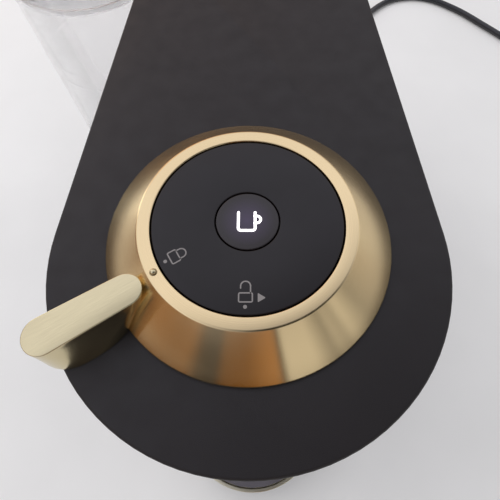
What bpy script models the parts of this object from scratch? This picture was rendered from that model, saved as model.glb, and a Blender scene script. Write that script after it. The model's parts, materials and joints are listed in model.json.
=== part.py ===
"""Capsule coffee machine with a swivelling water tank.

Metres, +Z up. The origin is on the table under the brewing axis, +X is the
user's right and +Y the machine's back. Every piece is one object, and every
moving group hangs from an empty on its joint's axis.
"""

import math

import bmesh
import bpy
from mathutils import Matrix, Vector

# Clearances and the fineness of round shapes
FIT = 0.0003
PLAY = FIT * 2
OVERRUN = 0.002
BIG_STEPS = 32
MID_STEPS = 24
SMALL_STEPS = 12
INNER_STEPS = 16
ARC_STEPS = 14
INNER_ARC_STEPS = 10
LEVER_END_STEPS = 8

# Plan of the machine: a large circle in front, a small one behind, joined by tangents
HEAD_FRONT_Y = -0.0047
HEAD_FRONT_R = 0.0718
HEAD_REAR_Y = 0.200
HEAD_REAR_R = 0.0505
SHELL_INSET = 0.0015
BODY_INSET = 0.004

# Heights of the stacked housings, from the table up
FOOT_H = 0.003
PLINTH_H = 0.0067
DECK_H = 0.0223
CUP_ROOM_H = 0.128
BREW_H = 0.045
HEAD_GAP = 0.002
HEAD_H = 0.045
PLINTH_TOP_Z = FOOT_H + PLINTH_H
COLUMN_BASE_Z = PLINTH_TOP_Z + DECK_H
BREW_BASE_Z = COLUMN_BASE_Z + CUP_ROOM_H
BREW_TOP_Z = BREW_BASE_Z + BREW_H
HEAD_BASE_Z = BREW_TOP_Z + HEAD_GAP
HEAD_TOP_Z = HEAD_BASE_Z + HEAD_H

# Top plate and head shell
PLATE_THICK = 0.004
PLATE_EDGE = 0.0012
SHELL_WALL = 0.0025
SHELL_FLOOR = 0.0025
SEAM_Y = 0.168
SEAM_GAP = 0.0015
HEAD_REAR_GAP = 0.0008
BODY_EDGE = 0.0015
PLATE_LOW_Z = HEAD_TOP_Z - PLATE_THICK

# Hinge at the back of the head, its barrel flush with the top plate
BARREL_R = 0.005
BARREL_HALF = 0.040
BOSS_LEN = 0.0072
PIN_R = 0.0016
PIN_END_WALL = 0.002
CAP_WALL = 0.004
HINGE_Z = HEAD_TOP_Z - BARREL_R
PIN_HALF = BARREL_HALF + BOSS_LEN - PIN_END_WALL
HINGE_WALL_Y = SEAM_Y + BARREL_R + CAP_WALL
BOSS_END = BARREL_HALF + FIT + BOSS_LEN

# Conical lock ring and its lever
RING_H = 0.0152
RING_BORE_R = 0.0321
RING_LAND = 0.0043
RING_FLANK = 0.0146
RING_EDGE = 0.0005
RING_CROWN = 0.003
NECK_STEP = 0.0075
NECK_WALL = 0.003
NECK_DEPTH = 0.0105
LEVER_REACH = 0.0265
LEVER_ROOT = 0.0045
LEVER_DROP = 0.001
LEVER_HALF_W = 0.0054
LEVER_OUTER_HALF_W = 0.0061
LEVER_FOOT_REACH = 0.0135
LEVER_FOOT_HALF_W = 0.0099
LEVER_FOOT_FLAT = 0.002
LEVER_FOOT_OUT = 0.012
LEVER_FOOT_IN = 0.0175
LEVER_EDGE = 0.0003
LEVER_REST_DEG = 31.8
LEVER_SHARES = (
    (0.0, 1.0),
    (0.25, 0.69),
    (0.55, 0.35),
    (0.85, 0.09),
)
STUD_R = 0.0012
STUD_H = 0.0008
STUD_CROWN_SHARE = 0.6
RING_TOP_Z = HEAD_TOP_Z + RING_H
RING_LOW_Z = HEAD_TOP_Z + FIT
RING_TOP_R = RING_BORE_R + RING_LAND
RING_BASE_R = RING_TOP_R + RING_FLANK
NECK_R = RING_BASE_R - NECK_STEP
NECK_BASE_Z = HEAD_TOP_Z - NECK_DEPTH
STUD_RING_R = RING_BORE_R + RING_LAND / 2
LEVER_TOP_Z = RING_TOP_Z - LEVER_DROP
LEVER_OUTER_R = RING_BASE_R + LEVER_REACH
LEVER_INNER_R = NECK_R - LEVER_ROOT
LEVER_FOOT_R = RING_BASE_R + LEVER_FOOT_REACH
NECK_BORE_R = NECK_R - NECK_WALL

# Guide bush and latch under the plate
BUSH_WALL = 0.0019
BUSH_FLANGE = 0.003
BUSH_FLANGE_H = 0.0012
LATCH_WALL = 0.004
LATCH_H = 0.0045
LUG_REACH = 0.006
LUG_ARC_DEG = 36.0
LUG_STEPS = 6
LUG_COUNT = 3
LUG_INSET = 0.0009
BUSH_BORE_R = NECK_R + FIT
BUSH_R = BUSH_BORE_R + BUSH_WALL
BUSH_FLANGE_Z = PLATE_LOW_Z - FIT
LATCH_TOP_Z = BUSH_FLANGE_Z - BUSH_FLANGE_H - FIT
LATCH_LOW_Z = LATCH_TOP_Z - LATCH_H
LATCH_R = BUSH_BORE_R + LATCH_WALL

# Fixed dial with the button
DISC_GAP = 0.0005
DISC_SINK = 0.0002
DISC_THICK = 0.0025
DISC_EDGE = 0.0004
PILLAR_WALL = 0.003
BUTTON_R = 0.0108
BUTTON_FLANGE = 0.0024
BUTTON_FLANGE_H = 0.0015
BUTTON_STEM_R = 0.003
BUTTON_TRAVEL = 0.0012
BUTTON_ROOM_H = 0.0045
BOARD_THICK = 0.0016
LIGHT_BOARD_DROP = 0.0012
LIGHT_WALL = 0.0012
LIGHT_MARGIN = 0.0018
SPRING_R = 0.0048
SPRING_WIRE_R = 0.00035
SPRING_TURNS = 3
SPRING_POINTS_PER_TURN = 8
DISC_R = RING_BORE_R - DISC_GAP
DISC_TOP_Z = RING_TOP_Z - DISC_SINK
DISC_LOW_Z = DISC_TOP_Z - DISC_THICK
PILLAR_BORE_R = BUTTON_R + BUTTON_FLANGE + FIT
PILLAR_R = PILLAR_BORE_R + PILLAR_WALL
FLANGE_TOP_Z = DISC_LOW_Z - FIT
FLANGE_LOW_Z = FLANGE_TOP_Z - BUTTON_FLANGE_H
BUTTON_BOARD_Z = FLANGE_LOW_Z - BUTTON_ROOM_H
LIGHT_TOP_Z = DISC_LOW_Z - LIGHT_BOARD_DROP
LIGHT_R = DISC_R - LIGHT_MARGIN

# Frame of the head, piercing plate and its bearing
CHASSIS_THICK = 0.0032
CHASSIS_MARGIN = 0.018
TURRET_WALL = 0.0076
TURRET_ROOF = 0.0045
CAGE_MARGIN = 0.001
CAGE_DROP = 0.001
CAGE_THICK = 0.004
CAGE_HUB_R = 0.010
CAGE_HUB_H = 0.0125
NEEDLE_R = 0.0012
NEEDLE_H = 0.0035
NEEDLE_RING_SHARE = 0.75
NEEDLE_COUNT = 8
BEARING_W = 0.0068
BEARING_H = 0.006

# Brewing drum, lower bearing and seal
CAVITY_R = 0.046
DRUM_GAP = 0.0045
DRUM_WALL = 0.0105
DRUM_LIP = 0.0024
DRUM_LIP_DEPTH = 0.0018
DRUM_WELL_INSET = 0.009
DRUM_FLOOR = 0.006
DRUM_TAPER = 0.006
DRUM_SINK = 0.0016
DRUM_SHAFT_R = 0.008
GEAR_ROOM_H = 0.0105
GEAR_ROOM_GAP = 0.005
BREW_FLOOR = 0.0065
LOWER_BEARING_W = 0.0058
LOWER_BEARING_H = 0.0055
SEAL_H = 0.003
SEAL_SINK = 0.0006
GEAR_ROOM_Z = BREW_BASE_Z + GEAR_ROOM_H
CAVITY_Z = GEAR_ROOM_Z + BREW_FLOOR
DRUM_R = CAVITY_R - DRUM_GAP
DRUM_RIM_R = DRUM_R - DRUM_WALL
DRUM_WELL_R = DRUM_RIM_R - DRUM_WELL_INSET
DRUM_BASE_Z = CAVITY_Z + FIT * 3
DRUM_WELL_Z = DRUM_BASE_Z + DRUM_FLOOR
DRUM_TOP_Z = BREW_TOP_Z - DRUM_SINK
SEAL_TOP_Z = DRUM_TOP_Z - SEAL_SINK
LOWER_BEARING_Z = GEAR_ROOM_Z + FIT
LOWER_BEARING_R = DRUM_SHAFT_R + FIT + LOWER_BEARING_W
CAGE_R = DRUM_RIM_R + CAGE_MARGIN
CAGE_Z = BREW_TOP_Z - CAGE_DROP
NEEDLE_RING_R = CAGE_R * NEEDLE_RING_SHARE
UPPER_BEARING_Z = CAGE_Z + CAGE_THICK * 2
CAGE_HUB_TOP_Z = CAGE_Z + CAGE_THICK + CAGE_HUB_H
UPPER_BEARING_R = CAGE_HUB_R + FIT + BEARING_W
TURRET_R = UPPER_BEARING_R + FIT + TURRET_WALL
TURRET_TOP_Z = CAGE_HUB_TOP_Z + PLAY + TURRET_ROOF
CHASSIS_REAR_Y = SEAM_Y - CHASSIS_MARGIN
CHASSIS_Z = HEAD_BASE_Z + SHELL_FLOOR + FIT

# Motor and belt
MOTOR_R = 0.0195
MOTOR_GAP = 0.013
MOTOR_ROOF = 0.0035
MOTOR_LIFT = 0.0013
MOTOR_SHOULDER = 0.005
MOTOR_SHAFT_R = 0.0025
MOTOR_SHAFT_H = 0.0155
PULLEY_LIFT = 0.0035
PULLEY_H = 0.006
PULLEY_LIP = 0.0012
PULLEY_LIP_H = 0.0010
DRUM_PULLEY_R = 0.0170
MOTOR_PULLEY_R = 0.0080
BELT_THICK = 0.0014
MOTOR_Y = DRUM_R + MOTOR_GAP + MOTOR_R
MOTOR_BASE_Z = GEAR_ROOM_Z + MOTOR_LIFT
MOTOR_TOP_Z = BREW_TOP_Z - MOTOR_ROOF
PULLEY_Z = BREW_BASE_Z + PULLEY_LIFT
PULLEY_TOP_Z = PULLEY_Z + PULLEY_H
MOTOR_SHAFT_TOP_Z = PULLEY_TOP_Z + MOTOR_SHAFT_H
GEAR_ROOM_R = DRUM_PULLEY_R + PULLEY_LIP + GEAR_ROOM_GAP
BELT_R = DRUM_PULLEY_R + FIT
MOTOR_BELT_R = MOTOR_PULLEY_R + FIT

# Underside of the brewing unit
COVER_RIM = 0.003
COVER_THICK = 0.0025
COVER_EDGE = 0.0006
SPOUT_Y = -0.043
SPOUT_R = 0.0135
SPOUT_TIP_R = 0.0065
SPOUT_H = 0.014
SPOUT_BORE_R = 0.003
SPOUT_SHARES = (
    (0.0, 1.0),
    (0.14, 1.0),
    (0.50, 0.70),
    (0.86, 0.0),
    (1.0, 0.0),
)
BREW_SHARES = (
    (0.0, 4.0),
    (0.07, 2.75),
    (0.33, 1.75),
    (0.67, 1.25),
    (1.0, 1.0),
)
COVER_R = GEAR_ROOM_R + COVER_RIM
COVER_TOP_Z = BREW_BASE_Z - FIT

# Column and base
COLUMN_MARGIN = 0.0105
COLUMN_WALL = 0.0025
COLUMN_BASE_INSET = 0.0055
PLINTH_FRONT_R = 0.050
PLINTH_REAR_R = 0.046
PLINTH_EDGE = 0.0012
HUB_R = 0.030
RUBBER_R = 0.007
RUBBER_LIP = 0.001
RUBBER_INSET = 0.012
RUBBER_FRONT_DEG = 37.0
RUBBER_REAR_DEG = 8.0
RECESS_INSET = 0.040
RECESS_DEPTH = 0.003
COLUMN_FRONT_Y = MOTOR_Y + MOTOR_R + COLUMN_MARGIN
COLUMN_TOP_Z = HEAD_BASE_Z - FIT
RUBBER_FRONT = (PLINTH_FRONT_R - RUBBER_INSET, RUBBER_FRONT_DEG)
RUBBER_REAR = (PLINTH_REAR_R - RUBBER_INSET, RUBBER_REAR_DEG)

# Used-capsule container
BIN_FRONT_Y = 0.028
BIN_CLEAR = 0.010
BIN_WALL = 0.0022
BIN_FLOOR = 0.0025
BIN_EDGE = 0.005
BIN_INSET = 0.0045
BIN_GRIP_HALF = 0.022
BIN_GRIP_DROP = 0.010
BIN_TOP_Z = BREW_BASE_Z - BIN_CLEAR
BIN_REAR_Y = COLUMN_FRONT_Y - PLAY

# Drip tray with its cup ring and grid
TRAY_Y = -0.055
CUP_RING_R = 0.055
CUP_RING_W = 0.0026
CUP_RING_H = 0.003
CUP_RING_LAP = 0.001
CUP_LEDGE_W = 0.0024
CUP_LEDGE_H = 0.0010
TRAY_GAP = 0.002
TRAY_WALL = 0.002
TRAY_H = 0.0147
GRID_THICK = 0.0015
SLOT_W = 0.0030
SLOT_PITCH = 0.0060
GRID_RIM = 0.005
TRAY_R = CUP_RING_R - CUP_RING_LAP
TRAY_LOW_Z = PLINTH_TOP_Z + FIT
TRAY_TOP_Z = TRAY_LOW_Z + TRAY_H
CUP_RING_LOW_Z = TRAY_TOP_Z + FIT
CUP_RING_TOP_Z = CUP_RING_LOW_Z + CUP_RING_H
CUP_RING_BORE_R = CUP_RING_R - CUP_RING_W
CUP_RING_EDGE = CUP_RING_W / 5
GRID_R = CUP_RING_BORE_R - PLAY
GRID_LOW_Z = CUP_RING_LOW_Z + CUP_LEDGE_H + FIT
GRID_TOP_Z = GRID_LOW_Z + GRID_THICK
DECK_FRONT_Y = TRAY_Y + CUP_RING_R + TRAY_GAP

# Swivel arm, tank and lid
ARM_H = 0.0154
ARM_HUB_R = 0.046
ARM_NECK_R = 0.024
ARM_SEAT_R = 0.046
ARM_GAP = 0.001
DECK_TAIL = 0.040
TANK_GAP = 0.004
TANK_R = 0.048
TANK_WALL = 0.0024
TANK_FLOOR = 0.003
TANK_H = 0.205
TANK_STEP_H = 0.006
TANK_STEP_W = 0.0008
TANK_PORT_R = 0.009
TANK_TAPER = 0.0012
LID_EDGE_H = 0.0050
LID_CROWN_H = 0.0017
LID_CROWN_SHARE = 0.7
LID_WALL = 0.0022
LID_PLUG_H = 0.005
LID_PLUG_W = 0.002
VALVE_SEAT_R = 0.012
VALVE_SEAT_DEPTH = 0.008
VALVE_FLANGE = 0.004
VALVE_FLANGE_H = 0.0025
VALVE_STEM_R = 0.0055
VALVE_STEM_H = 0.0024
ARM_BASE_Z = PLINTH_TOP_Z + PLAY
ARM_TOP_Z = ARM_BASE_Z + ARM_H
ARM_HUB_TOP_Z = COLUMN_BASE_Z - ARM_GAP / 2
TANK_LOW_Z = ARM_TOP_Z + FIT
TANK_TOP_Z = TANK_LOW_Z + TANK_H
TANK_STEP_Z = TANK_TOP_Z - TANK_STEP_H
TANK_OFFSET = HEAD_REAR_R + TANK_GAP + TANK_R
TANK_BORE_R = TANK_R - TANK_WALL
TANK_RIM_R = TANK_R + TANK_STEP_W
VALVE_FLANGE_R = TANK_PORT_R + VALVE_FLANGE
VALVE_FLANGE_Z = TANK_LOW_Z + TANK_FLOOR + FIT
DECK_REAR_Y = HEAD_REAR_Y - DECK_TAIL

# Pieces inside the column
FRAME_MARGIN = 0.0240
FRAME_THICK = 0.003
FRAME_HALF = 0.034
FRAME_FOOT = 0.017
FRAME_CLEAR = 0.007
PUMP_R = 0.017
PUMP_H = 0.052
PUMP_LIFT = 0.034
PUMP_NOSE_R = 0.008
PUMP_NOSE_H = 0.010
PUMP_MOUNT_W = 0.0037
PUMP_MOUNT_H = 0.008
PUMP_MOUNT_SHARES = (0.15, 0.70)
PRESSURE_GAP = 0.012
HEATER_HALF = 0.026
HEATER_DEPTH = 0.030
HEATER_H = 0.048
HEATER_FIN_PITCH = 0.008
HEATER_FIN_GAP = 0.003
HEATER_FIN_DEPTH = 0.006
METER_X = 0.026
METER_SETBACK = 0.030
METER_R = 0.012
METER_H = 0.016
CIRCUIT_HALF = 0.028
CIRCUIT_LIFT = 0.028
CIRCUIT_H = 0.110
RELAY_SIZE = 0.012
FITTING_R = 0.0075
FITTING_FLANGE = 0.0035
FITTING_FLANGE_H = 0.003
FITTING_TAIL_H = 0.010
HOSE_R = 0.003
FRAME_Y = COLUMN_FRONT_Y + FRAME_MARGIN
FRAME_TOP_Z = HEAD_BASE_Z - FRAME_CLEAR
WORKS_FLOOR_Z = COLUMN_BASE_Z + COLUMN_WALL + FIT
PUMP_BASE_Z = COLUMN_BASE_Z + PUMP_LIFT
PUMP_TOP_Z = PUMP_BASE_Z + PUMP_H
HEATER_BASE_Z = PUMP_TOP_Z + PUMP_NOSE_H + PRESSURE_GAP
METER_Y = FRAME_Y + METER_SETBACK
METER_TOP_Z = WORKS_FLOOR_Z + METER_H
CIRCUIT_BASE_Z = COLUMN_BASE_Z + CIRCUIT_LIFT
FITTING_FLANGE_R = FITTING_R + FITTING_FLANGE
FITTING_TOP_Z = WORKS_FLOOR_Z + FITTING_FLANGE_H + FITTING_TAIL_H

# Mains cord
CORD_R = 0.0035
CORD_LIFT = 0.0003
RELIEF_Y = 0.115
RELIEF_LIFT = 0.0043
RELIEF_LEN = 0.026
RELIEF_R = 0.0062
RELIEF_FLANGE_R = 0.0080
RELIEF_FLANGE_H = 0.003
PLUG_LEN = 0.050
PLUG_R = 0.0165
PLUG_TILT_DEG = 12.0
PLUG_SHARES = (
    (0.0, 0.26),
    (0.12, 0.34),
    (0.24, 0.62),
    (0.49, 0.90),
    (0.62, 1.0),
    (0.93, 1.0),
    (1.0, 0.94),
)
PLUG_PIN_R = 0.0024
PLUG_PIN_LEN = 0.018
PLUG_PIN_HALF = 0.0095
RELIEF_Z = PLINTH_TOP_Z + RELIEF_LIFT
CORD_ROUTE = (
    (0.100, 0.148),
    (0.107, 0.185),
    (0.109, 0.225),
    (0.110, 0.270),
    (0.113, 0.320),
    (0.122, 0.370),
    (0.138, 0.420),
    (0.163, 0.463),
    (0.200, 0.490),
    (0.242, 0.491),
    (0.280, 0.467),
    (0.312, 0.434),
    (0.340, 0.402),
    (0.362, 0.370),
    (0.378, 0.338),
    (0.388, 0.308),
)

PALETTE = {
    "matte_black": ((0.030, 0.026, 0.028), 0.62, 0.0),
    "satin_black": ((0.022, 0.019, 0.020), 0.42, 0.0),
    "brushed_gold": ((0.62, 0.44, 0.22), 0.28, 1.0),
    "clear_plastic": ((0.82, 0.84, 0.85), 0.06, 0.0),
    "smoked_plastic": ((0.20, 0.20, 0.21), 0.10, 0.0),
    "violet_grey": ((0.16, 0.14, 0.17), 0.50, 0.0),
    "rubber": ((0.015, 0.015, 0.015), 0.85, 0.0),
    "glossy_black": ((0.010, 0.010, 0.010), 0.22, 0.0),
    "steel": ((0.60, 0.60, 0.60), 0.30, 1.0),
    "cast_alloy": ((0.45, 0.45, 0.45), 0.50, 1.0),
    "inner_grey": ((0.22, 0.22, 0.23), 0.60, 0.0),
    "white_plastic": ((0.80, 0.80, 0.78), 0.50, 0.0),
    "circuit_green": ((0.02, 0.16, 0.07), 0.55, 0.0),
    "hose": ((0.70, 0.70, 0.68), 0.45, 0.0),
}


def clear_scene():
    for obj in list(bpy.data.objects):
        bpy.data.objects.remove(obj)


def collection(name):
    made = bpy.data.collections.new(name)
    bpy.context.scene.collection.children.link(made)
    return made


def make_materials():
    made = {}
    for name, (colour, roughness, metallic) in PALETTE.items():
        material = bpy.data.materials.new(name)
        material.use_nodes = True
        shader = material.node_tree.nodes["Principled BSDF"]
        shader.inputs["Base Color"].default_value = (*colour, 1)
        shader.inputs["Roughness"].default_value = roughness
        shader.inputs["Metallic"].default_value = metallic
        if name in ("clear_plastic", "smoked_plastic"):
            shader.inputs["Transmission Weight"].default_value = 0.9
        made[name] = material
    return made


def bodied(name, bm):
    """A mesh object of this geometry, its faces turned outwards."""
    bmesh.ops.recalc_face_normals(bm, faces=bm.faces)
    mesh = bpy.data.meshes.new(name)
    bm.to_mesh(mesh)
    bm.free()
    return bpy.data.objects.new(name, mesh)


def outline(front, rear, inset=0.0, steps=ARC_STEPS):
    """The loop round two circles (y, radius) and their tangents, seen from above."""
    (front_y, front_r), (rear_y, rear_r) = front, rear
    front_r, rear_r = front_r - inset, rear_r - inset
    lean = math.asin((front_r - rear_r) / (rear_y - front_y))
    loop = []
    for centre, radius, start, sweep in (
        (front_y, front_r, math.pi - lean, math.pi + 2 * lean),
        (rear_y, rear_r, lean, math.pi - 2 * lean),
    ):
        for step in range(steps + 1):
            angle = start + sweep * step / steps
            loop.append((radius * math.cos(angle), centre + radius * math.sin(angle)))
    return loop


def head_plan(inset=0.0, steps=ARC_STEPS):
    return outline((HEAD_FRONT_Y, HEAD_FRONT_R), (HEAD_REAR_Y, HEAD_REAR_R), inset, steps)


def clipped(loop, y, keep_front):
    """The part of a loop in front of the line at y, or behind it."""
    sign = 1 if keep_front else -1
    kept = []
    for (x0, y0), (x1, y1) in zip(loop, loop[1:] + loop[:1]):
        inside0 = sign * (y - y0) >= 0
        inside1 = sign * (y - y1) >= 0
        if inside0:
            kept.append((x0, y0))
        if inside0 != inside1:
            share = (y - y0) / (y1 - y0)
            kept.append((x0 + share * (x1 - x0), y))
    return kept


def prism(name, loop, low, high):
    """A flat outline raised from one height to another."""
    bm = bmesh.new()
    face = bm.faces.new([bm.verts.new((x, y, low)) for x, y in loop])
    raised = bmesh.ops.extrude_face_region(bm, geom=[face])["geom"]
    verts = [item for item in raised if isinstance(item, bmesh.types.BMVert)]
    bmesh.ops.translate(bm, verts=verts, vec=(0, 0, high - low))
    return bodied(name, bm)


def loft(name, sections):
    """A skin over loops of equal count, each given with its height, closed at both ends."""
    bm = bmesh.new()
    rings = [[bm.verts.new((x, y, z)) for x, y in loop] for loop, z in sections]
    for lower, upper in zip(rings, rings[1:]):
        for i in range(len(lower)):
            j = (i + 1) % len(lower)
            bm.faces.new((lower[i], lower[j], upper[j], upper[i]))
    bm.faces.new(rings[0][::-1])
    bm.faces.new(rings[-1])
    return bodied(name, bm)


def block(name, low, high):
    """A box between two corners."""
    low, high = Vector(low), Vector(high)
    bm = bmesh.new()
    bmesh.ops.create_cube(bm, size=1)
    bmesh.ops.scale(bm, vec=high - low, verts=bm.verts)
    bmesh.ops.translate(bm, vec=(low + high) / 2, verts=bm.verts)
    return bodied(name, bm)


def rod(name, radius, start, end, steps=SMALL_STEPS, end_radius=None):
    """A cylinder or a cone between two points."""
    start, end = Vector(start), Vector(end)
    along = end - start
    bm = bmesh.new()
    turn = along.to_track_quat("Z", "Y").to_matrix().to_4x4()
    bmesh.ops.create_cone(
        bm,
        cap_ends=True,
        segments=steps,
        radius1=radius,
        radius2=radius if end_radius is None else end_radius,
        depth=along.length,
        matrix=Matrix.Translation((start + end) / 2) @ turn,
    )
    return bodied(name, bm)


def turned(name, profile, centre=(0, 0), steps=MID_STEPS):
    """A profile of (radius, height) turned about the vertical through centre."""
    ends_on_axis = profile[0][0] == 0 and profile[-1][0] == 0
    points = list(profile)
    area = sum(
        r0 * z1 - r1 * z0 for (r0, z0), (r1, z1) in zip(points, points[1:] + points[:1])
    )
    if area > 0:
        points.reverse()
    bm = bmesh.new()
    verts = [bm.verts.new((r, 0, z)) for r, z in points]
    pairs = list(zip(verts, verts[1:]))
    if not ends_on_axis:
        pairs.append((verts[-1], verts[0]))
    for first, second in pairs:
        bm.edges.new((first, second))
    mesh = bpy.data.meshes.new(name)
    bm.to_mesh(mesh)
    bm.free()
    obj = bpy.data.objects.new(name, mesh)
    obj.location = (*centre, 0)
    screw = obj.modifiers.new("Turn", "SCREW")
    screw.steps = steps
    screw.render_steps = steps
    screw.use_merge_vertices = True
    screw.merge_threshold = 0.00001
    return obj


def smooth_points(route, spacing):
    """Points at even spacing on a smooth curve through the route."""
    route = [Vector(point) for point in route]
    ends = [2 * route[0] - route[1], *route, 2 * route[-1] - route[-2]]
    fine = []
    for p0, p1, p2, p3 in zip(ends, ends[1:], ends[2:], ends[3:]):
        for step in range(24):
            t = step / 24
            fine.append(
                0.5
                * (
                    2 * p1
                    + (p2 - p0) * t
                    + (2 * p0 - 5 * p1 + 4 * p2 - p3) * t**2
                    + (3 * p1 - p0 - 3 * p2 + p3) * t**3
                )
            )
    fine.append(route[-1])
    total = sum((b - a).length for a, b in zip(fine, fine[1:]))
    wanted = max(2, round(total / spacing))
    points = [fine[0]]
    walked = 0.0
    for a, b in zip(fine, fine[1:]):
        step = (b - a).length
        while len(points) < wanted and walked + step >= total * len(points) / wanted:
            share = (total * len(points) / wanted - walked) / step
            points.append(a.lerp(b, share))
        walked += step
    points.append(fine[-1])
    return points


def tube(name, points, radius, resolution=2):
    """A round tube along points, as a curve with filled ends."""
    curve = bpy.data.curves.new(name, "CURVE")
    curve.dimensions = "3D"
    curve.bevel_depth = radius
    curve.bevel_resolution = resolution
    curve.use_fill_caps = True
    spline = curve.splines.new("POLY")
    spline.points.add(len(points) - 1)
    for point, co in zip(spline.points, points):
        point.co = (*co, 1)
    return bpy.data.objects.new(name, curve)


def as_cutter(obj):
    CUTTERS.objects.link(obj)
    obj.hide_render = True
    obj.display_type = "WIRE"
    return obj


def cut(target, *tools):
    for tool in tools:
        modifier = target.modifiers.new("Cut " + tool.name, "BOOLEAN")
        modifier.operation = "DIFFERENCE"
        modifier.object = as_cutter(tool)
    return target


def add(target, *pieces):
    for piece in pieces:
        modifier = target.modifiers.new("Join " + piece.name, "BOOLEAN")
        modifier.operation = "UNION"
        modifier.object = as_cutter(piece)
    return target


def rounded(obj, width, segments=1, angle=40):
    modifier = obj.modifiers.new("Round", "BEVEL")
    modifier.width = width
    modifier.segments = segments
    modifier.limit_method = "ANGLE"
    modifier.angle_limit = math.radians(angle)
    return obj


def place(obj, material, axis=None):
    """Puts a finished piece in the machine, hung from its axis where it moves."""
    MACHINE.objects.link(obj)
    obj.data.materials.append(MATERIALS[material])
    if obj.type == "MESH":
        obj.data.shade_smooth()
        obj.data.set_sharp_from_angle(angle=math.radians(35))
    if axis:
        obj.parent = axis
        obj.matrix_parent_inverse = under(axis)
    return obj


def axis_at(name, location, carrier=None):
    """An empty on a joint's axis, hung from another where that one carries it."""
    empty = bpy.data.objects.new(name, None)
    empty.location = location
    empty.empty_display_size = HUB_R
    MACHINE.objects.link(empty)
    if carrier:
        empty.parent = carrier
        empty.matrix_parent_inverse = under(carrier)
    return empty


def under(axis):
    """The matrix that leaves an object where it stands when it is hung from an axis."""
    return Matrix.Translation(axis.location).inverted()


def hinge_rod(name, radius, left, right):
    return rod(name, radius, (left, SEAM_Y, HINGE_Z), (right, SEAM_Y, HINGE_Z), MID_STEPS)


def hinge_bore(name):
    reach = PIN_HALF + FIT
    return hinge_rod(name, PIN_R + FIT, -reach, reach)


def hinge_room(name, half):
    return hinge_rod(name, BARREL_R + FIT, -half, half)


def foot_at(centre_y, reach, turn):
    """Where a foot stands: at a reach from a circle's centre, turned from +X."""
    angle = math.radians(turn)
    return (reach * math.cos(angle), centre_y + reach * math.sin(angle))


def build_base():
    deck_top = COLUMN_BASE_Z - FIT
    plinth_loop = outline((TRAY_Y, PLINTH_FRONT_R), (HEAD_REAR_Y, PLINTH_REAR_R))
    base = prism("base_foot", plinth_loop, FOOT_H, PLINTH_TOP_Z)
    rounded(base, PLINTH_EDGE)
    deck_loop = clipped(head_plan(COLUMN_BASE_INSET), DECK_FRONT_Y, False)
    deck_loop = clipped(deck_loop, DECK_REAR_Y, True)
    deck = prism("base_deck", deck_loop, FOOT_H + PLINTH_EDGE, deck_top)
    cut(
        deck,
        rod(
            "deck_arm_room",
            ARM_HUB_R + ARM_GAP,
            (0, HEAD_REAR_Y, FOOT_H - OVERRUN),
            (0, HEAD_REAR_Y, deck_top + OVERRUN),
            BIG_STEPS,
        ),
    )
    hub_low = (0, HEAD_REAR_Y, PLINTH_TOP_Z - PLINTH_EDGE)
    hub = rod("base_hub", HUB_R, hub_low, (0, HEAD_REAR_Y, deck_top), MID_STEPS)
    add(base, deck, hub)
    recess_loop = outline(
        (TRAY_Y, PLINTH_FRONT_R), (HEAD_REAR_Y, PLINTH_REAR_R), RECESS_INSET
    )
    relief_at = (column_side(RELIEF_Y), RELIEF_Y, RELIEF_Z)
    cut(
        base,
        prism("base_recess", recess_loop, 0, FOOT_H + RECESS_DEPTH),
        rod(
            "base_hub_bore",
            FITTING_R + FIT,
            (0, HEAD_REAR_Y, PLINTH_TOP_Z + FIT),
            (0, HEAD_REAR_Y, deck_top + OVERRUN),
        ),
        rod(
            "base_relief_room",
            RELIEF_FLANGE_R + FIT,
            Vector(relief_at) - Vector((RELIEF_FLANGE_H * 2, 0, 0)),
            Vector(relief_at) + Vector((RELIEF_LEN, 0, 0)),
        ),
    )
    place(base, "matte_black")
    front_reach, front_turn = RUBBER_FRONT
    rear_reach, rear_turn = RUBBER_REAR
    for name, (x, y), depth in (
        ("foot_front_left", foot_at(TRAY_Y, -front_reach, front_turn), 0),
        ("foot_front_right", foot_at(TRAY_Y, front_reach, -front_turn), 0),
        ("foot_rear_left", foot_at(HEAD_REAR_Y, -rear_reach, -rear_turn), 0),
        ("foot_rear_right", foot_at(HEAD_REAR_Y, rear_reach, rear_turn), 0),
        ("foot_middle", (0, 0), RECESS_DEPTH),
    ):
        top = FOOT_H + depth - FIT
        profile = [
            (0, 0),
            (RUBBER_R - RUBBER_LIP, 0),
            (RUBBER_R, RUBBER_LIP),
            (RUBBER_R, top),
            (0, top),
        ]
        place(turned(name, profile, (x, y), SMALL_STEPS), "rubber")


def column_side(y):
    """Half the deck's width at y, where its side is straight."""
    lean = (HEAD_FRONT_R - HEAD_REAR_R) / (HEAD_REAR_Y - HEAD_FRONT_Y)
    return (HEAD_FRONT_R - COLUMN_BASE_INSET - lean * (y - HEAD_FRONT_Y)) / math.sqrt(
        1 - lean**2
    )


def build_column():
    outer = [
        (clipped(head_plan(COLUMN_BASE_INSET), COLUMN_FRONT_Y, False), COLUMN_BASE_Z),
        (clipped(head_plan(BODY_INSET), COLUMN_FRONT_Y, False), COLUMN_TOP_Z),
    ]
    column = loft("column_shell", outer)
    rounded(column, BODY_EDGE)
    inner_front = COLUMN_FRONT_Y + COLUMN_WALL
    inner = [
        (
            clipped(head_plan(COLUMN_BASE_INSET + COLUMN_WALL), inner_front, False),
            COLUMN_BASE_Z + COLUMN_WALL,
        ),
        (
            clipped(head_plan(BODY_INSET + COLUMN_WALL), inner_front, False),
            COLUMN_TOP_Z + OVERRUN,
        ),
    ]
    port_low = (0, HEAD_REAR_Y, COLUMN_BASE_Z - OVERRUN)
    port_high = (0, HEAD_REAR_Y, COLUMN_BASE_Z + COLUMN_WALL + OVERRUN)
    cut(
        column,
        loft("column_room", inner),
        rod("column_port", FITTING_R + FIT, port_low, port_high),
    )
    place(column, "matte_black")


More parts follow.
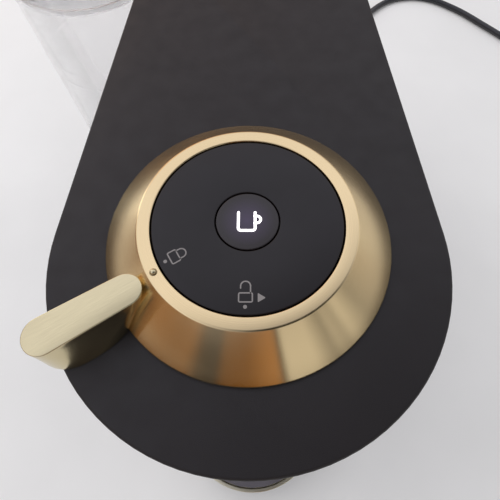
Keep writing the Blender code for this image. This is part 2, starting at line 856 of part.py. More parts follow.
def build_rear_cap():
    behind = SEAM_Y + SEAM_GAP
    cap = prism("rear_cap", clipped(head_plan(), behind, False), PLATE_LOW_Z, HEAD_TOP_Z)
    rounded(cap, PLATE_EDGE)
    skirt = prism(
        "cap_skirt",
        clipped(head_plan(SHELL_INSET), behind, False),
        HEAD_BASE_Z,
        PLATE_LOW_Z + PLATE_EDGE,
    )
    room_loop = clipped(head_plan(SHELL_INSET + SHELL_WALL), HINGE_WALL_Y, False)
    bosses = [
        hinge_rod("cap_boss_left", BARREL_R, -BOSS_END, -BARREL_HALF - FIT),
        hinge_rod("cap_boss_right", BARREL_R, BARREL_HALF + FIT, BOSS_END),
    ]
    add(cap, skirt)
    cut(
        cap,
        prism("cap_room", room_loop, HEAD_BASE_Z - OVERRUN, PLATE_LOW_Z),
        hinge_room("cap_barrel_room", BARREL_HALF + FIT),
    )
    add(cap, *bosses)
    cut(cap, hinge_bore("cap_pin_bore"))
    place(cap, "matte_black")
    place(hinge_rod("hinge_pin", PIN_R, -PIN_HALF, PIN_HALF), "steel")


def build_brewing_unit():
    front = COLUMN_FRONT_Y - FIT
    sections = [
        (clipped(head_plan(BODY_INSET * inset), front, True), BREW_BASE_Z + BREW_H * level)
        for level, inset in BREW_SHARES
    ]
    housing = loft("brew_housing", sections)
    motor_at = (0, MOTOR_Y)
    room_loop = outline((0, GEAR_ROOM_R), (MOTOR_Y, GEAR_ROOM_R - FIT))
    cut(
        housing,
        rod("drum_room", CAVITY_R, (0, 0, CAVITY_Z), (0, 0, BREW_TOP_Z + OVERRUN), BIG_STEPS),
        prism("gear_room", room_loop, BREW_BASE_Z - OVERRUN, GEAR_ROOM_Z),
        rod(
            "motor_room",
            MOTOR_R + FIT,
            (*motor_at, GEAR_ROOM_Z - OVERRUN),
            (*motor_at, MOTOR_TOP_Z + FIT),
            MID_STEPS,
        ),
        rod(
            "bearing_room",
            LOWER_BEARING_R + FIT,
            (0, 0, GEAR_ROOM_Z - OVERRUN),
            (0, 0, CAVITY_Z + OVERRUN),
            MID_STEPS,
        ),
        rod(
            "coffee_bore",
            SPOUT_BORE_R,
            (0, SPOUT_Y, BREW_BASE_Z - OVERRUN),
            (0, SPOUT_Y, CAVITY_Z + OVERRUN),
        ),
    )
    place(housing, "matte_black")

    cover = prism(
        "belt_cover",
        outline((0, COVER_R), (MOTOR_Y, COVER_R - FIT)),
        COVER_TOP_Z - COVER_THICK,
        COVER_TOP_Z,
    )
    place(rounded(cover, COVER_EDGE), "matte_black")

    flank = [
        (SPOUT_TIP_R + (SPOUT_R - SPOUT_TIP_R) * width, COVER_TOP_Z - SPOUT_H * depth)
        for depth, width in SPOUT_SHARES
    ]
    spout = [(SPOUT_BORE_R, COVER_TOP_Z), *flank, (SPOUT_BORE_R, COVER_TOP_Z - SPOUT_H)]
    place(turned("coffee_spout", spout, (0, SPOUT_Y)), "satin_black")

    bearing_top = LOWER_BEARING_Z + LOWER_BEARING_H
    bearing = [
        (DRUM_SHAFT_R + FIT, LOWER_BEARING_Z),
        (LOWER_BEARING_R, LOWER_BEARING_Z),
        (LOWER_BEARING_R, bearing_top),
        (DRUM_SHAFT_R + FIT, bearing_top),
    ]
    place(turned("lower_bearing", bearing, steps=INNER_STEPS), "steel")

    seal_outer = CAVITY_R - FIT
    seal_inner = DRUM_R + PLAY
    seal = [
        (seal_inner, SEAL_TOP_Z - SEAL_H / 2),
        (seal_outer, SEAL_TOP_Z - SEAL_H),
        (seal_outer, SEAL_TOP_Z),
        (seal_inner, SEAL_TOP_Z - SEAL_H / 4),
    ]
    place(turned("drum_seal", seal), "rubber")


def build_motor():
    axis = axis_at("motor_axis", (0, MOTOR_Y, PULLEY_Z))
    shaft_room = MOTOR_SHAFT_R + FIT
    motor = [
        (0, MOTOR_TOP_Z),
        (MOTOR_R - MOTOR_SHOULDER, MOTOR_TOP_Z),
        (MOTOR_R, MOTOR_TOP_Z - MOTOR_SHOULDER / 2),
        (MOTOR_R, MOTOR_BASE_Z + MOTOR_SHOULDER / 2),
        (MOTOR_R - MOTOR_SHOULDER, MOTOR_BASE_Z),
        (shaft_room, MOTOR_BASE_Z),
        (shaft_room, MOTOR_SHAFT_TOP_Z + FIT),
        (0, MOTOR_SHAFT_TOP_Z + FIT),
    ]
    place(turned("drive_motor", motor, (0, MOTOR_Y), INNER_STEPS), "steel")
    shafted = [
        (0, PULLEY_Z),
        *pulley_profile(MOTOR_PULLEY_R),
        (MOTOR_SHAFT_R, PULLEY_TOP_Z),
        (MOTOR_SHAFT_R, MOTOR_SHAFT_TOP_Z),
        (0, MOTOR_SHAFT_TOP_Z),
    ]
    place(turned("motor_pulley", shafted, (0, MOTOR_Y), INNER_STEPS), "steel", axis)


def pulley_profile(radius):
    """The outer side of a belt pulley from bottom to top, a lip at each end."""
    return [
        (radius + PULLEY_LIP, PULLEY_Z),
        (radius + PULLEY_LIP, PULLEY_Z + PULLEY_LIP_H),
        (radius, PULLEY_Z + PULLEY_LIP_H),
        (radius, PULLEY_TOP_Z - PULLEY_LIP_H),
        (radius + PULLEY_LIP, PULLEY_TOP_Z - PULLEY_LIP_H),
        (radius + PULLEY_LIP, PULLEY_TOP_Z),
    ]


def build_belt():
    low = PULLEY_Z + PULLEY_LIP_H + FIT
    high = PULLEY_TOP_Z - PULLEY_LIP_H - FIT
    inner = outline((0, BELT_R), (MOTOR_Y, MOTOR_BELT_R), steps=INNER_ARC_STEPS)
    outer = outline(
        (0, BELT_R), (MOTOR_Y, MOTOR_BELT_R), inset=-BELT_THICK, steps=INNER_ARC_STEPS
    )
    belt = prism("drive_belt", outer, low, high)
    cut(belt, prism("belt_room", inner, low - OVERRUN, high + OVERRUN))
    place(belt, "rubber")


def build_drum():
    axis = axis_at("drum_axis", (0, 0, DRUM_BASE_Z))
    lip_low = DRUM_TOP_Z - DRUM_LIP_DEPTH
    drum = [
        (0, PULLEY_Z),
        (DRUM_SHAFT_R, PULLEY_Z),
        (DRUM_SHAFT_R, DRUM_BASE_Z),
        (DRUM_R - DRUM_TAPER, DRUM_BASE_Z),
        (DRUM_R, DRUM_BASE_Z + DRUM_TAPER),
        (DRUM_R, DRUM_TOP_Z),
        (DRUM_RIM_R + DRUM_LIP, DRUM_TOP_Z),
        (DRUM_RIM_R + DRUM_LIP - PLAY, lip_low),
        (DRUM_RIM_R, lip_low),
        (DRUM_RIM_R - DRUM_LIP, (DRUM_TOP_Z + DRUM_WELL_Z) / 2),
        (DRUM_WELL_R, DRUM_WELL_Z),
        (0, DRUM_WELL_Z),
    ]
    place(turned("capsule_drum", drum, steps=MID_STEPS), "inner_grey", axis)
    bore = DRUM_SHAFT_R + FIT
    pulley = [(bore, PULLEY_Z), *pulley_profile(DRUM_PULLEY_R), (bore, PULLEY_TOP_Z)]
    place(turned("drum_pulley", pulley, steps=INNER_STEPS), "white_plastic", axis)


def build_bin():
    axis = axis_at("bin_axis", (0, BIN_FRONT_Y, COLUMN_BASE_Z))
    loop = clipped(clipped(head_plan(BIN_INSET), BIN_FRONT_Y, False), BIN_REAR_Y, True)
    inner = clipped(
        clipped(head_plan(BIN_INSET + BIN_WALL), BIN_FRONT_Y + BIN_WALL, False),
        BIN_REAR_Y - BIN_WALL,
        True,
    )
    box = prism("capsule_container", loop, COLUMN_BASE_Z, BIN_TOP_Z)
    rounded(box, BIN_EDGE, 3, 60)
    room = prism("bin_room", inner, COLUMN_BASE_Z + BIN_FLOOR, BIN_TOP_Z + OVERRUN)
    rounded(room, BIN_EDGE - BIN_WALL, 2, 60)
    grip = block(
        "bin_grip",
        (-BIN_GRIP_HALF, BIN_FRONT_Y - OVERRUN, BIN_TOP_Z - BIN_GRIP_DROP),
        (BIN_GRIP_HALF, BIN_FRONT_Y + BIN_WALL + OVERRUN, BIN_TOP_Z + BIN_GRIP_DROP),
    )
    cut(box, room, grip)
    place(box, "matte_black", axis)


def build_tray():
    axis = axis_at("tray_axis", (0, TRAY_Y, PLINTH_TOP_Z))
    centre = (0, TRAY_Y)
    floor = TRAY_LOW_Z + TRAY_WALL
    wall_in = TRAY_R - TRAY_WALL
    tray = [
        (0, TRAY_LOW_Z),
        (wall_in, TRAY_LOW_Z),
        (TRAY_R, floor),
        (TRAY_R, TRAY_TOP_Z),
        (wall_in, TRAY_TOP_Z),
        (wall_in, floor + TRAY_WALL / 2),
        (wall_in - TRAY_WALL / 2, floor),
        (0, floor),
    ]
    place(turned("drip_tray", tray, centre, BIG_STEPS), "matte_black", axis)
    ledge_r = CUP_RING_BORE_R - CUP_LEDGE_W
    ledge_z = CUP_RING_LOW_Z + CUP_LEDGE_H
    ring = [
        (ledge_r, CUP_RING_LOW_Z),
        (CUP_RING_R, CUP_RING_LOW_Z),
        (CUP_RING_R, CUP_RING_TOP_Z - CUP_RING_EDGE),
        (CUP_RING_R - CUP_RING_EDGE, CUP_RING_TOP_Z),
        (CUP_RING_BORE_R + CUP_RING_EDGE, CUP_RING_TOP_Z),
        (CUP_RING_BORE_R, CUP_RING_TOP_Z - CUP_RING_EDGE),
        (CUP_RING_BORE_R, ledge_z),
        (ledge_r, ledge_z),
    ]
    grid_axis = axis_at("grid_axis", (*centre, CUP_RING_LOW_Z), axis)
    place(turned("cup_ring", ring, centre, BIG_STEPS), "brushed_gold", grid_axis)
    grid = rod("drip_grid", GRID_R, (*centre, GRID_LOW_Z), (*centre, GRID_TOP_Z), BIG_STEPS)
    cut(grid, slot_bank())
    place(grid, "violet_grey", grid_axis)


def slot_bank():
    """Parallel slots that fill the grid inside its rim, as one cutting tool."""
    bm = bmesh.new()
    radius = GRID_R - GRID_RIM
    count = int(radius / SLOT_PITCH)
    for index in range(-count, count + 1):
        x = index * SLOT_PITCH
        half = math.sqrt(radius**2 - x**2) - SLOT_W / 2
        if half < SLOT_W:
            continue
        cube = bmesh.ops.create_cube(bm, size=1)["verts"]
        bmesh.ops.scale(bm, vec=(SLOT_W, half * 2, GRID_THICK + OVERRUN * 2), verts=cube)
        bmesh.ops.translate(bm, vec=(x, TRAY_Y, (GRID_LOW_Z + GRID_TOP_Z) / 2), verts=cube)
    return bodied("grid_slots", bm)


def build_arm():
    axis = axis_at("swivel_axis", (0, HEAD_REAR_Y, ARM_BASE_Z))
    flat = outline((0, ARM_SEAT_R), (TANK_OFFSET, ARM_NECK_R))
    loop = [(y - TANK_OFFSET, HEAD_REAR_Y - x) for x, y in flat]
    arm = prism("swivel_arm", loop, ARM_BASE_Z, ARM_TOP_Z)
    rounded(arm, PLINTH_EDGE)
    seat_at = (-TANK_OFFSET, HEAD_REAR_Y)
    hub = rod(
        "arm_hub",
        ARM_HUB_R,
        (0, HEAD_REAR_Y, ARM_BASE_Z),
        (0, HEAD_REAR_Y, ARM_HUB_TOP_Z),
        BIG_STEPS,
    )
    add(arm, hub)
    cut(
        arm,
        rod(
            "arm_bore",
            HUB_R + FIT,
            (0, HEAD_REAR_Y, ARM_BASE_Z - OVERRUN),
            (0, HEAD_REAR_Y, ARM_HUB_TOP_Z + OVERRUN),
            MID_STEPS,
        ),
        rod(
            "arm_socket",
            VALVE_SEAT_R + FIT,
            (*seat_at, ARM_TOP_Z - VALVE_SEAT_DEPTH),
            (*seat_at, ARM_TOP_Z + OVERRUN),
            SMALL_STEPS,
        ),
    )
    place(arm, "matte_black", axis)
    seat_low = ARM_TOP_Z - VALVE_SEAT_DEPTH + FIT
    bore = VALVE_STEM_R + PLAY
    seat = [
        (bore / 2, seat_low),
        (VALVE_SEAT_R, seat_low),
        (VALVE_SEAT_R, ARM_TOP_Z),
        (bore, ARM_TOP_Z),
        (bore, seat_low + VALVE_SEAT_DEPTH / 3),
        (bore / 2, seat_low + VALVE_SEAT_DEPTH / 4),
    ]
    place(turned("valve_seat", seat, seat_at, SMALL_STEPS), "rubber", axis)


def build_tank():
    centre = (-TANK_OFFSET, HEAD_REAR_Y)
    axis = axis_at("tank_axis", (*centre, TANK_LOW_Z))
    floor = TANK_LOW_Z + TANK_FLOOR
    foot_r = TANK_R - TANK_TAPER
    foot_bore_r = TANK_BORE_R - TANK_TAPER
    tank = [
        (TANK_PORT_R, TANK_LOW_Z),
        (foot_r - TANK_FLOOR, TANK_LOW_Z),
        (foot_r, floor),
        (TANK_R, TANK_STEP_Z),
        (TANK_RIM_R, TANK_STEP_Z + TANK_STEP_W),
        (TANK_RIM_R, TANK_TOP_Z),
        (TANK_BORE_R, TANK_TOP_Z),
        (foot_bore_r, floor + TANK_FLOOR),
        (foot_bore_r - TANK_FLOOR, floor),
        (TANK_PORT_R, floor),
    ]
    place(turned("water_tank", tank, centre, BIG_STEPS), "clear_plastic", axis)
    guide_z = TANK_LOW_Z + VALVE_STEM_H
    head_z = VALVE_FLANGE_Z + VALVE_FLANGE_H
    valve = [
        (0, TANK_LOW_Z),
        (VALVE_STEM_R, TANK_LOW_Z),
        (VALVE_STEM_R, guide_z),
        (TANK_PORT_R - PLAY, guide_z),
        (TANK_PORT_R - PLAY, VALVE_FLANGE_Z),
        (VALVE_FLANGE_R, VALVE_FLANGE_Z),
        (VALVE_FLANGE_R, head_z),
        (VALVE_STEM_R, head_z + VALVE_FLANGE_H),
        (0, head_z + VALVE_FLANGE_H),
    ]
    valve_axis = axis_at("valve_axis", (*centre, VALVE_FLANGE_Z), axis)
    place(turned("tank_valve", valve, centre, SMALL_STEPS), "white_plastic", valve_axis)

    lid_axis = axis_at("lid_axis", (*centre, TANK_TOP_Z), axis)
    lid_low = TANK_TOP_Z + FIT
    shoulder = lid_low + LID_EDGE_H
    plug_r = TANK_BORE_R - PLAY
    lid = [
        (0, shoulder + LID_CROWN_H),
        (TANK_RIM_R * LID_CROWN_SHARE, shoulder + LID_CROWN_H * LID_CROWN_SHARE),
        (TANK_RIM_R - LID_CROWN_H, shoulder),
        (TANK_RIM_R, shoulder - LID_CROWN_H),
        (TANK_RIM_R, lid_low),
        (plug_r, lid_low),
        (plug_r, lid_low - LID_PLUG_H),
        (plug_r - LID_PLUG_W, lid_low - LID_PLUG_H),
        (plug_r - LID_PLUG_W, shoulder - LID_WALL),
        (0, shoulder + LID_CROWN_H - LID_WALL),
    ]
    place(turned("tank_lid", lid, centre, BIG_STEPS), "smoked_plastic", lid_axis)


def build_head():
    axis = axis_at("head_axis", (0, SEAM_Y, HINGE_Z))
    edge_y = SEAM_Y - HEAD_REAR_GAP / 2
    plate = prism("top_plate", clipped(head_plan(), edge_y, True), PLATE_LOW_Z, HEAD_TOP_Z)
    rounded(plate, PLATE_EDGE)
    boss_room = BARREL_R + PLAY
    notch_low = (-HEAD_FRONT_R, SEAM_Y - boss_room, PLATE_LOW_Z - OVERRUN)
    notch_high = (-BARREL_HALF, SEAM_Y + boss_room, HEAD_TOP_Z + OVERRUN)
    cut(
        plate,
        rod(
            "plate_hole",
            BUSH_R + FIT,
            (0, 0, PLATE_LOW_Z - OVERRUN),
            (0, 0, HEAD_TOP_Z + OVERRUN),
            BIG_STEPS,
        ),
        block("plate_notch_left", notch_low, notch_high),
        block(
            "plate_notch_right",
            (BARREL_HALF, SEAM_Y - boss_room, PLATE_LOW_Z - OVERRUN),
            (HEAD_FRONT_R, SEAM_Y + boss_room, HEAD_TOP_Z + OVERRUN),
        ),
    )
    add(plate, hinge_rod("plate_barrel", BARREL_R, -BARREL_HALF, BARREL_HALF))
    cut(plate, hinge_bore("plate_pin_bore"))
    place(plate, "matte_black", axis)

    build_head_shell(axis, edge_y)
    bush = [
        (BUSH_BORE_R, HEAD_TOP_Z - FIT),
        (BUSH_R, HEAD_TOP_Z - FIT),
        (BUSH_R, BUSH_FLANGE_Z),
        (BUSH_R + BUSH_FLANGE, BUSH_FLANGE_Z),
        (BUSH_R + BUSH_FLANGE, BUSH_FLANGE_Z - BUSH_FLANGE_H),
        (BUSH_BORE_R, BUSH_FLANGE_Z - BUSH_FLANGE_H),
    ]
    place(turned("lever_bush", bush, steps=BIG_STEPS), "white_plastic", axis)
    build_chassis(axis)
    build_dial(axis)
    return axis


def build_head_shell(axis, edge_y):
    top = PLATE_LOW_Z - FIT
    shell = prism("head_shell", clipped(head_plan(SHELL_INSET), edge_y, True), HEAD_BASE_Z, top)
    rounded(shell, BODY_EDGE)
    room = prism(
        "shell_room",
        clipped(head_plan(SHELL_INSET + SHELL_WALL), edge_y - SHELL_WALL - BARREL_R, True),
        HEAD_BASE_Z + SHELL_FLOOR,
        top + OVERRUN,
    )
    cut(
        shell,
        room,
        hinge_room("shell_hinge_room", HEAD_FRONT_R),
        rod(
            "shell_hole",
            CAGE_R + PLAY * 2,
            (0, 0, HEAD_BASE_Z - OVERRUN),
            (0, 0, HEAD_BASE_Z + SHELL_FLOOR + OVERRUN),
            BIG_STEPS,
        ),
    )
    place(shell, "matte_black", axis)


def build_chassis(axis):
    chassis = prism(
        "head_chassis",
        clipped(head_plan(SHELL_INSET + SHELL_WALL + FIT), CHASSIS_REAR_Y, True),
        CHASSIS_Z,
        CHASSIS_Z + CHASSIS_THICK,
    )
    low = CHASSIS_Z + FIT
    add(
        chassis,
        rod("turret", TURRET_R, (0, 0, low), (0, 0, TURRET_TOP_Z), MID_STEPS),
        block(
            "chassis_rib",
            (-CHASSIS_THICK, TURRET_R - TURRET_WALL, low),
            (CHASSIS_THICK, CHASSIS_REAR_Y - CHASSIS_THICK, CHASSIS_Z + CHASSIS_THICK * 2),
        ),
    )
    bearing_top = UPPER_BEARING_Z + BEARING_H
    hub_top = (0, 0, CAGE_HUB_TOP_Z + PLAY)
    cut(
        chassis,
        rod(
            "turret_room",
            UPPER_BEARING_R + FIT,
            (0, 0, CHASSIS_Z - OVERRUN),
            (0, 0, bearing_top + FIT),
            MID_STEPS,
        ),
        rod("turret_top_room", CAGE_HUB_R + PLAY, (0, 0, CHASSIS_Z), hub_top, MID_STEPS),
    )
    place(chassis, "inner_grey", axis)

    bearing = [
        (CAGE_HUB_R + FIT, UPPER_BEARING_Z),
        (UPPER_BEARING_R, UPPER_BEARING_Z),
        (UPPER_BEARING_R, bearing_top),
        (CAGE_HUB_R + FIT, bearing_top),
    ]
    place(turned("upper_bearing", bearing, steps=INNER_STEPS), "steel", axis)


def build_dial(axis):
    foot = TURRET_TOP_Z + FIT
    disc = [
        (BUTTON_R + FIT, DISC_LOW_Z),
        (BUTTON_R + FIT, DISC_TOP_Z),
        (DISC_R - DISC_EDGE, DISC_TOP_Z),
        (DISC_R, DISC_TOP_Z - DISC_EDGE),
        (DISC_R, DISC_LOW_Z),
        (PILLAR_R, DISC_LOW_Z),
        (PILLAR_R, foot),
        (PILLAR_BORE_R, foot),
        (PILLAR_BORE_R, DISC_LOW_Z),
    ]
    place(turned("control_disc", disc, steps=BIG_STEPS), "satin_black", axis)

    board_low = LIGHT_TOP_Z - BOARD_THICK
    lights = [
        (PILLAR_R + FIT, board_low),
        (LIGHT_R, board_low),
        (LIGHT_R, LIGHT_TOP_Z),
        (LIGHT_R - LIGHT_WALL, LIGHT_TOP_Z),
        (LIGHT_R - LIGHT_WALL, DISC_LOW_Z - FIT),
        (LIGHT_R - LIGHT_WALL * 2, DISC_LOW_Z - FIT),
        (LIGHT_R - LIGHT_WALL * 2, LIGHT_TOP_Z),
        (PILLAR_R + FIT, LIGHT_TOP_Z),
    ]
    place(turned("symbol_light_board", lights), "circuit_green", axis)

    board = rod(
        "button_board",
        PILLAR_BORE_R - FIT,
        (0, 0, BUTTON_BOARD_Z - BOARD_THICK),
        (0, 0, BUTTON_BOARD_Z),
        MID_STEPS,
    )
    place(board, "circuit_green", axis)
    stem_low = BUTTON_BOARD_Z + BUTTON_TRAVEL + FIT
    flange_r = BUTTON_R + BUTTON_FLANGE
    button = [
        (0, DISC_TOP_Z),
        (BUTTON_R - DISC_EDGE, DISC_TOP_Z),
        (BUTTON_R, DISC_TOP_Z - DISC_EDGE),
        (BUTTON_R, FLANGE_TOP_Z),
        (flange_r, FLANGE_TOP_Z),
        (flange_r, FLANGE_LOW_Z),
        (BUTTON_STEM_R, FLANGE_LOW_Z),
        (BUTTON_STEM_R, stem_low),
        (0, stem_low),
    ]
    button_axis = axis_at("button_axis", (0, 0, DISC_TOP_Z), axis)
    place(turned("coffee_button", button), "satin_black", button_axis)
    spring_low = BUTTON_BOARD_Z + FIT + SPRING_WIRE_R
    spring_high = FLANGE_LOW_Z - FIT - SPRING_WIRE_R
    steps = SPRING_TURNS * SPRING_POINTS_PER_TURN
    coil = [
        (
            SPRING_R * math.cos(2 * math.pi * i / SPRING_POINTS_PER_TURN),
            SPRING_R * math.sin(2 * math.pi * i / SPRING_POINTS_PER_TURN),
            spring_low + (spring_high - spring_low) * i / steps,
        )
        for i in range(steps + 1)
    ]
    place(tube("button_spring", coil, SPRING_WIRE_R, 1), "steel", axis)


def build_lever(head_axis):
    axis = axis_at("lever_axis", (0, 0, RING_TOP_Z), head_axis)
    ring = turned(
        "lock_lever",
        [
            (RING_BORE_R, RING_TOP_Z),
            (RING_TOP_R - RING_EDGE, RING_TOP_Z),
            (RING_TOP_R, RING_TOP_Z - RING_EDGE),
            (RING_BASE_R, RING_LOW_Z + RING_EDGE * 2),
            (RING_BASE_R, RING_LOW_Z),
            (NECK_R, RING_LOW_Z),
            (NECK_R, NECK_BASE_Z),
            (RING_BORE_R, NECK_BASE_Z),
        ],
        steps=BIG_STEPS,
    )
    crown = RING_TOP_Z - RING_CROWN
    room = turned(
        "lever_room",
        [
            (0, NECK_BASE_Z - OVERRUN),
            (NECK_BORE_R, NECK_BASE_Z - OVERRUN),
            (NECK_BORE_R, RING_LOW_Z + RING_CROWN),
            (RING_TOP_R - RING_EDGE, crown),
            (RING_BORE_R, crown),
            (RING_BORE_R, RING_TOP_Z + OVERRUN),
            (0, RING_TOP_Z + OVERRUN),
        ],
        steps=BIG_STEPS,
    )
    add(ring, lever_arm())
    cut(ring, room)
    place(ring, "brushed_gold", axis)

    angle = lever_angle()
    stud_at = (STUD_RING_R * math.cos(angle), STUD_RING_R * math.sin(angle))
    base = RING_TOP_Z + FIT
    stud = [
        (0, base),
        (STUD_R, base),
        (STUD_R * STUD_CROWN_SHARE, base + STUD_H * STUD_CROWN_SHARE),
        (0, base + STUD_H),
    ]
    place(turned("pointer_stud", stud, stud_at, SMALL_STEPS), "brushed_gold", axis)
    build_latch(axis)


def lever_angle():
    """The lever's direction at rest, counter-clockwise from +X."""
    return math.radians(180 + LEVER_REST_DEG)


def lever_outline(flare, inset=0.0):
    """The lever along +X: a bar with round ends on top, a leaf with a rounded toe at its foot."""
    loop = []
    for start, half, top_end, side, reach in (
        (-90, LEVER_OUTER_HALF_W, LEVER_OUTER_R - LEVER_OUTER_HALF_W, 1, LEVER_FOOT_OUT),
        (90, LEVER_HALF_W, LEVER_INNER_R + LEVER_HALF_W, -1, LEVER_FOOT_IN),
    ):
        for step in range(LEVER_END_STEPS + 1):
            angle = math.radians(start + 180 * step / LEVER_END_STEPS)
            across, along = math.sin(angle), math.cos(angle)
            top = Vector((top_end + (half - inset) * along, (half - inset) * across))
            foot_x = LEVER_FOOT_R + LEVER_FOOT_FLAT * side + reach * along
            loop.append(top.lerp(Vector((foot_x, LEVER_FOOT_HALF_W * across)), flare))
    return loop


def lever_arm():
    """The grip: a narrow bar on top that flares all round towards its foot."""
    height = LEVER_TOP_Z - LEVER_EDGE - RING_LOW_Z
    sections = [
        (lever_outline(flare), RING_LOW_Z + height * level) for level, flare in LEVER_SHARES
    ]
    sections.append((lever_outline(0), LEVER_TOP_Z - LEVER_EDGE))
    sections.append((lever_outline(0, LEVER_EDGE), LEVER_TOP_Z))
    arm = loft("lever_arm", sections)
    arm.rotation_euler = (0, 0, lever_angle())
    return arm


def build_latch(axis):
    latch = turned(
        "latch_ring",
        [
            (BUSH_BORE_R, LATCH_LOW_Z),
            (LATCH_R, LATCH_LOW_Z),
            (LATCH_R, LATCH_TOP_Z),
            (BUSH_BORE_R, LATCH_TOP_Z),
        ],
        steps=BIG_STEPS,
    )
    lugs = []
    for index in range(LUG_COUNT):
        middle = 360 * index / LUG_COUNT
        loop = []
        for radius, sign in ((LATCH_R + LUG_REACH, 1), (LATCH_R - LATCH_WALL / 2, -1)):
            for step in range(LUG_STEPS + 1):
                turn = LUG_ARC_DEG * (step / LUG_STEPS - 0.5)
                angle = math.radians(middle + sign * turn)
                loop.append((radius * math.cos(angle), radius * math.sin(angle)))
        low, high = LATCH_LOW_Z + LUG_INSET, LATCH_TOP_Z - LUG_INSET
        lugs.append(prism(f"latch_lug_{index}", loop, low, high))
    add(latch, *lugs)
    place(latch, "steel", axis)


def build_cage(head_axis):
    axis = axis_at("cage_axis", (0, 0, CAGE_Z), head_axis)
    cage = turned(
        "piercing_plate",
        [
            (0, CAGE_Z),
            (CAGE_R - CAGE_THICK / 2, CAGE_Z),
            (CAGE_R, CAGE_Z + CAGE_THICK / 2),
            (CAGE_R, CAGE_Z + CAGE_THICK),
            (CAGE_HUB_R + CAGE_THICK / 2, CAGE_Z + CAGE_THICK),
            (CAGE_HUB_R, CAGE_Z + CAGE_THICK * 1.5),
            (CAGE_HUB_R, CAGE_HUB_TOP_Z),
            (0, CAGE_HUB_TOP_Z),
        ],
    )
    needles = []
    places = [(0, 0)] + [
        (
            NEEDLE_RING_R * math.cos(2 * math.pi * i / NEEDLE_COUNT),
            NEEDLE_RING_R * math.sin(2 * math.pi * i / NEEDLE_COUNT),
        )
        for i in range(NEEDLE_COUNT)
    ]
    for index, (x, y) in enumerate(places):
        needles.append(
            rod(
                f"needle_{index}",
                NEEDLE_R,
                (x, y, CAGE_Z + CAGE_THICK / 4),
                (x, y, CAGE_Z - NEEDLE_H),
                6,
                NEEDLE_R / 4,
            )
        )
    add(cage, *needles)
    place(cage, "steel", axis)


def build_inner_works():
    frame = block(
        "inner_frame",
        (-FRAME_HALF, FRAME_Y, WORKS_FLOOR_Z),
        (FRAME_HALF, FRAME_Y + FRAME_THICK, FRAME_TOP_Z),
    )
    add(
        frame,
        block(
            "frame_foot",
            (-FRAME_HALF, FRAME_Y, WORKS_FLOOR_Z),
            (FRAME_HALF, FRAME_Y + FRAME_FOOT, WORKS_FLOOR_Z + FRAME_THICK),
        ),
    )
    place(frame, "inner_grey")

    back = FRAME_Y + FRAME_THICK + FIT
    mount_bore = PUMP_R + FIT
    mount_r = mount_bore + PUMP_MOUNT_W
    pump_at = (0, back + mount_r)
    pump = [
        (0, PUMP_BASE_Z - PUMP_NOSE_H),
        (PUMP_NOSE_R, PUMP_BASE_Z - PUMP_NOSE_H),
        (PUMP_NOSE_R, PUMP_BASE_Z),
        (PUMP_R, PUMP_BASE_Z),
        (PUMP_R, PUMP_TOP_Z),
        (PUMP_NOSE_R, PUMP_TOP_Z),
        (PUMP_NOSE_R, PUMP_TOP_Z + PUMP_NOSE_H),
        (0, PUMP_TOP_Z + PUMP_NOSE_H),
    ]
    place(turned("water_pump", pump, pump_at, INNER_STEPS), "white_plastic")
    for name, share in zip(("pump_mount_lower", "pump_mount_upper"), PUMP_MOUNT_SHARES):
        low = PUMP_BASE_Z + PUMP_H * share
        mount = [
            (mount_bore, low),
            (mount_r, low),
            (mount_r, low + PUMP_MOUNT_H),
            (mount_bore, low + PUMP_MOUNT_H),
        ]
        place(turned(name, mount, pump_at, INNER_STEPS), "rubber")

    heater = block(
        "heater_block",
        (-HEATER_HALF, back, HEATER_BASE_Z),
        (HEATER_HALF, back + HEATER_DEPTH, HEATER_BASE_Z + HEATER_H),
    )
    cut(heater, fin_gaps(back + HEATER_DEPTH))
    place(heater, "cast_alloy")

    meter = [
        (0, WORKS_FLOOR_Z),
        (METER_R, WORKS_FLOOR_Z),
        (METER_R, METER_TOP_Z - METER_H / 3),
        (METER_R / 2, METER_TOP_Z),
        (0, METER_TOP_Z),
    ]
    place(turned("flow_meter", meter, (METER_X, METER_Y), SMALL_STEPS), "white_plastic")

    board_back = FRAME_Y - FIT
    board = block(
        "control_board",
        (-CIRCUIT_HALF, board_back - BOARD_THICK, CIRCUIT_BASE_Z),
        (CIRCUIT_HALF, board_back, CIRCUIT_BASE_Z + CIRCUIT_H),
    )
    relays = [
        block(
            f"relay_{index}",
            (x, board_back - RELAY_SIZE, CIRCUIT_BASE_Z + z),
            (x + RELAY_SIZE, board_back - BOARD_THICK / 2, CIRCUIT_BASE_Z + z + RELAY_SIZE),
        )
        for index, (x, z) in enumerate(
            (
                (-CIRCUIT_HALF / 2, RELAY_SIZE),
                (RELAY_SIZE / 2, RELAY_SIZE * 2),
                (-RELAY_SIZE, RELAY_SIZE * 5),
            )
        )
    ]
    add(board, *relays)
    place(board, "circuit_green")

    fitting = [
        (0, ARM_BASE_Z),
        (FITTING_R, ARM_BASE_Z),
        (FITTING_R, WORKS_FLOOR_Z),
        (FITTING_FLANGE_R, WORKS_FLOOR_Z),
        (FITTING_FLANGE_R, WORKS_FLOOR_Z + FITTING_FLANGE_H),
        (HOSE_R, WORKS_FLOOR_Z + FITTING_FLANGE_H),
        (HOSE_R, FITTING_TOP_Z),
        (0, FITTING_TOP_Z),
    ]
    place(turned("hub_fitting", fitting, (0, HEAD_REAR_Y), SMALL_STEPS), "white_plastic")
    build_hoses(pump_at, back)


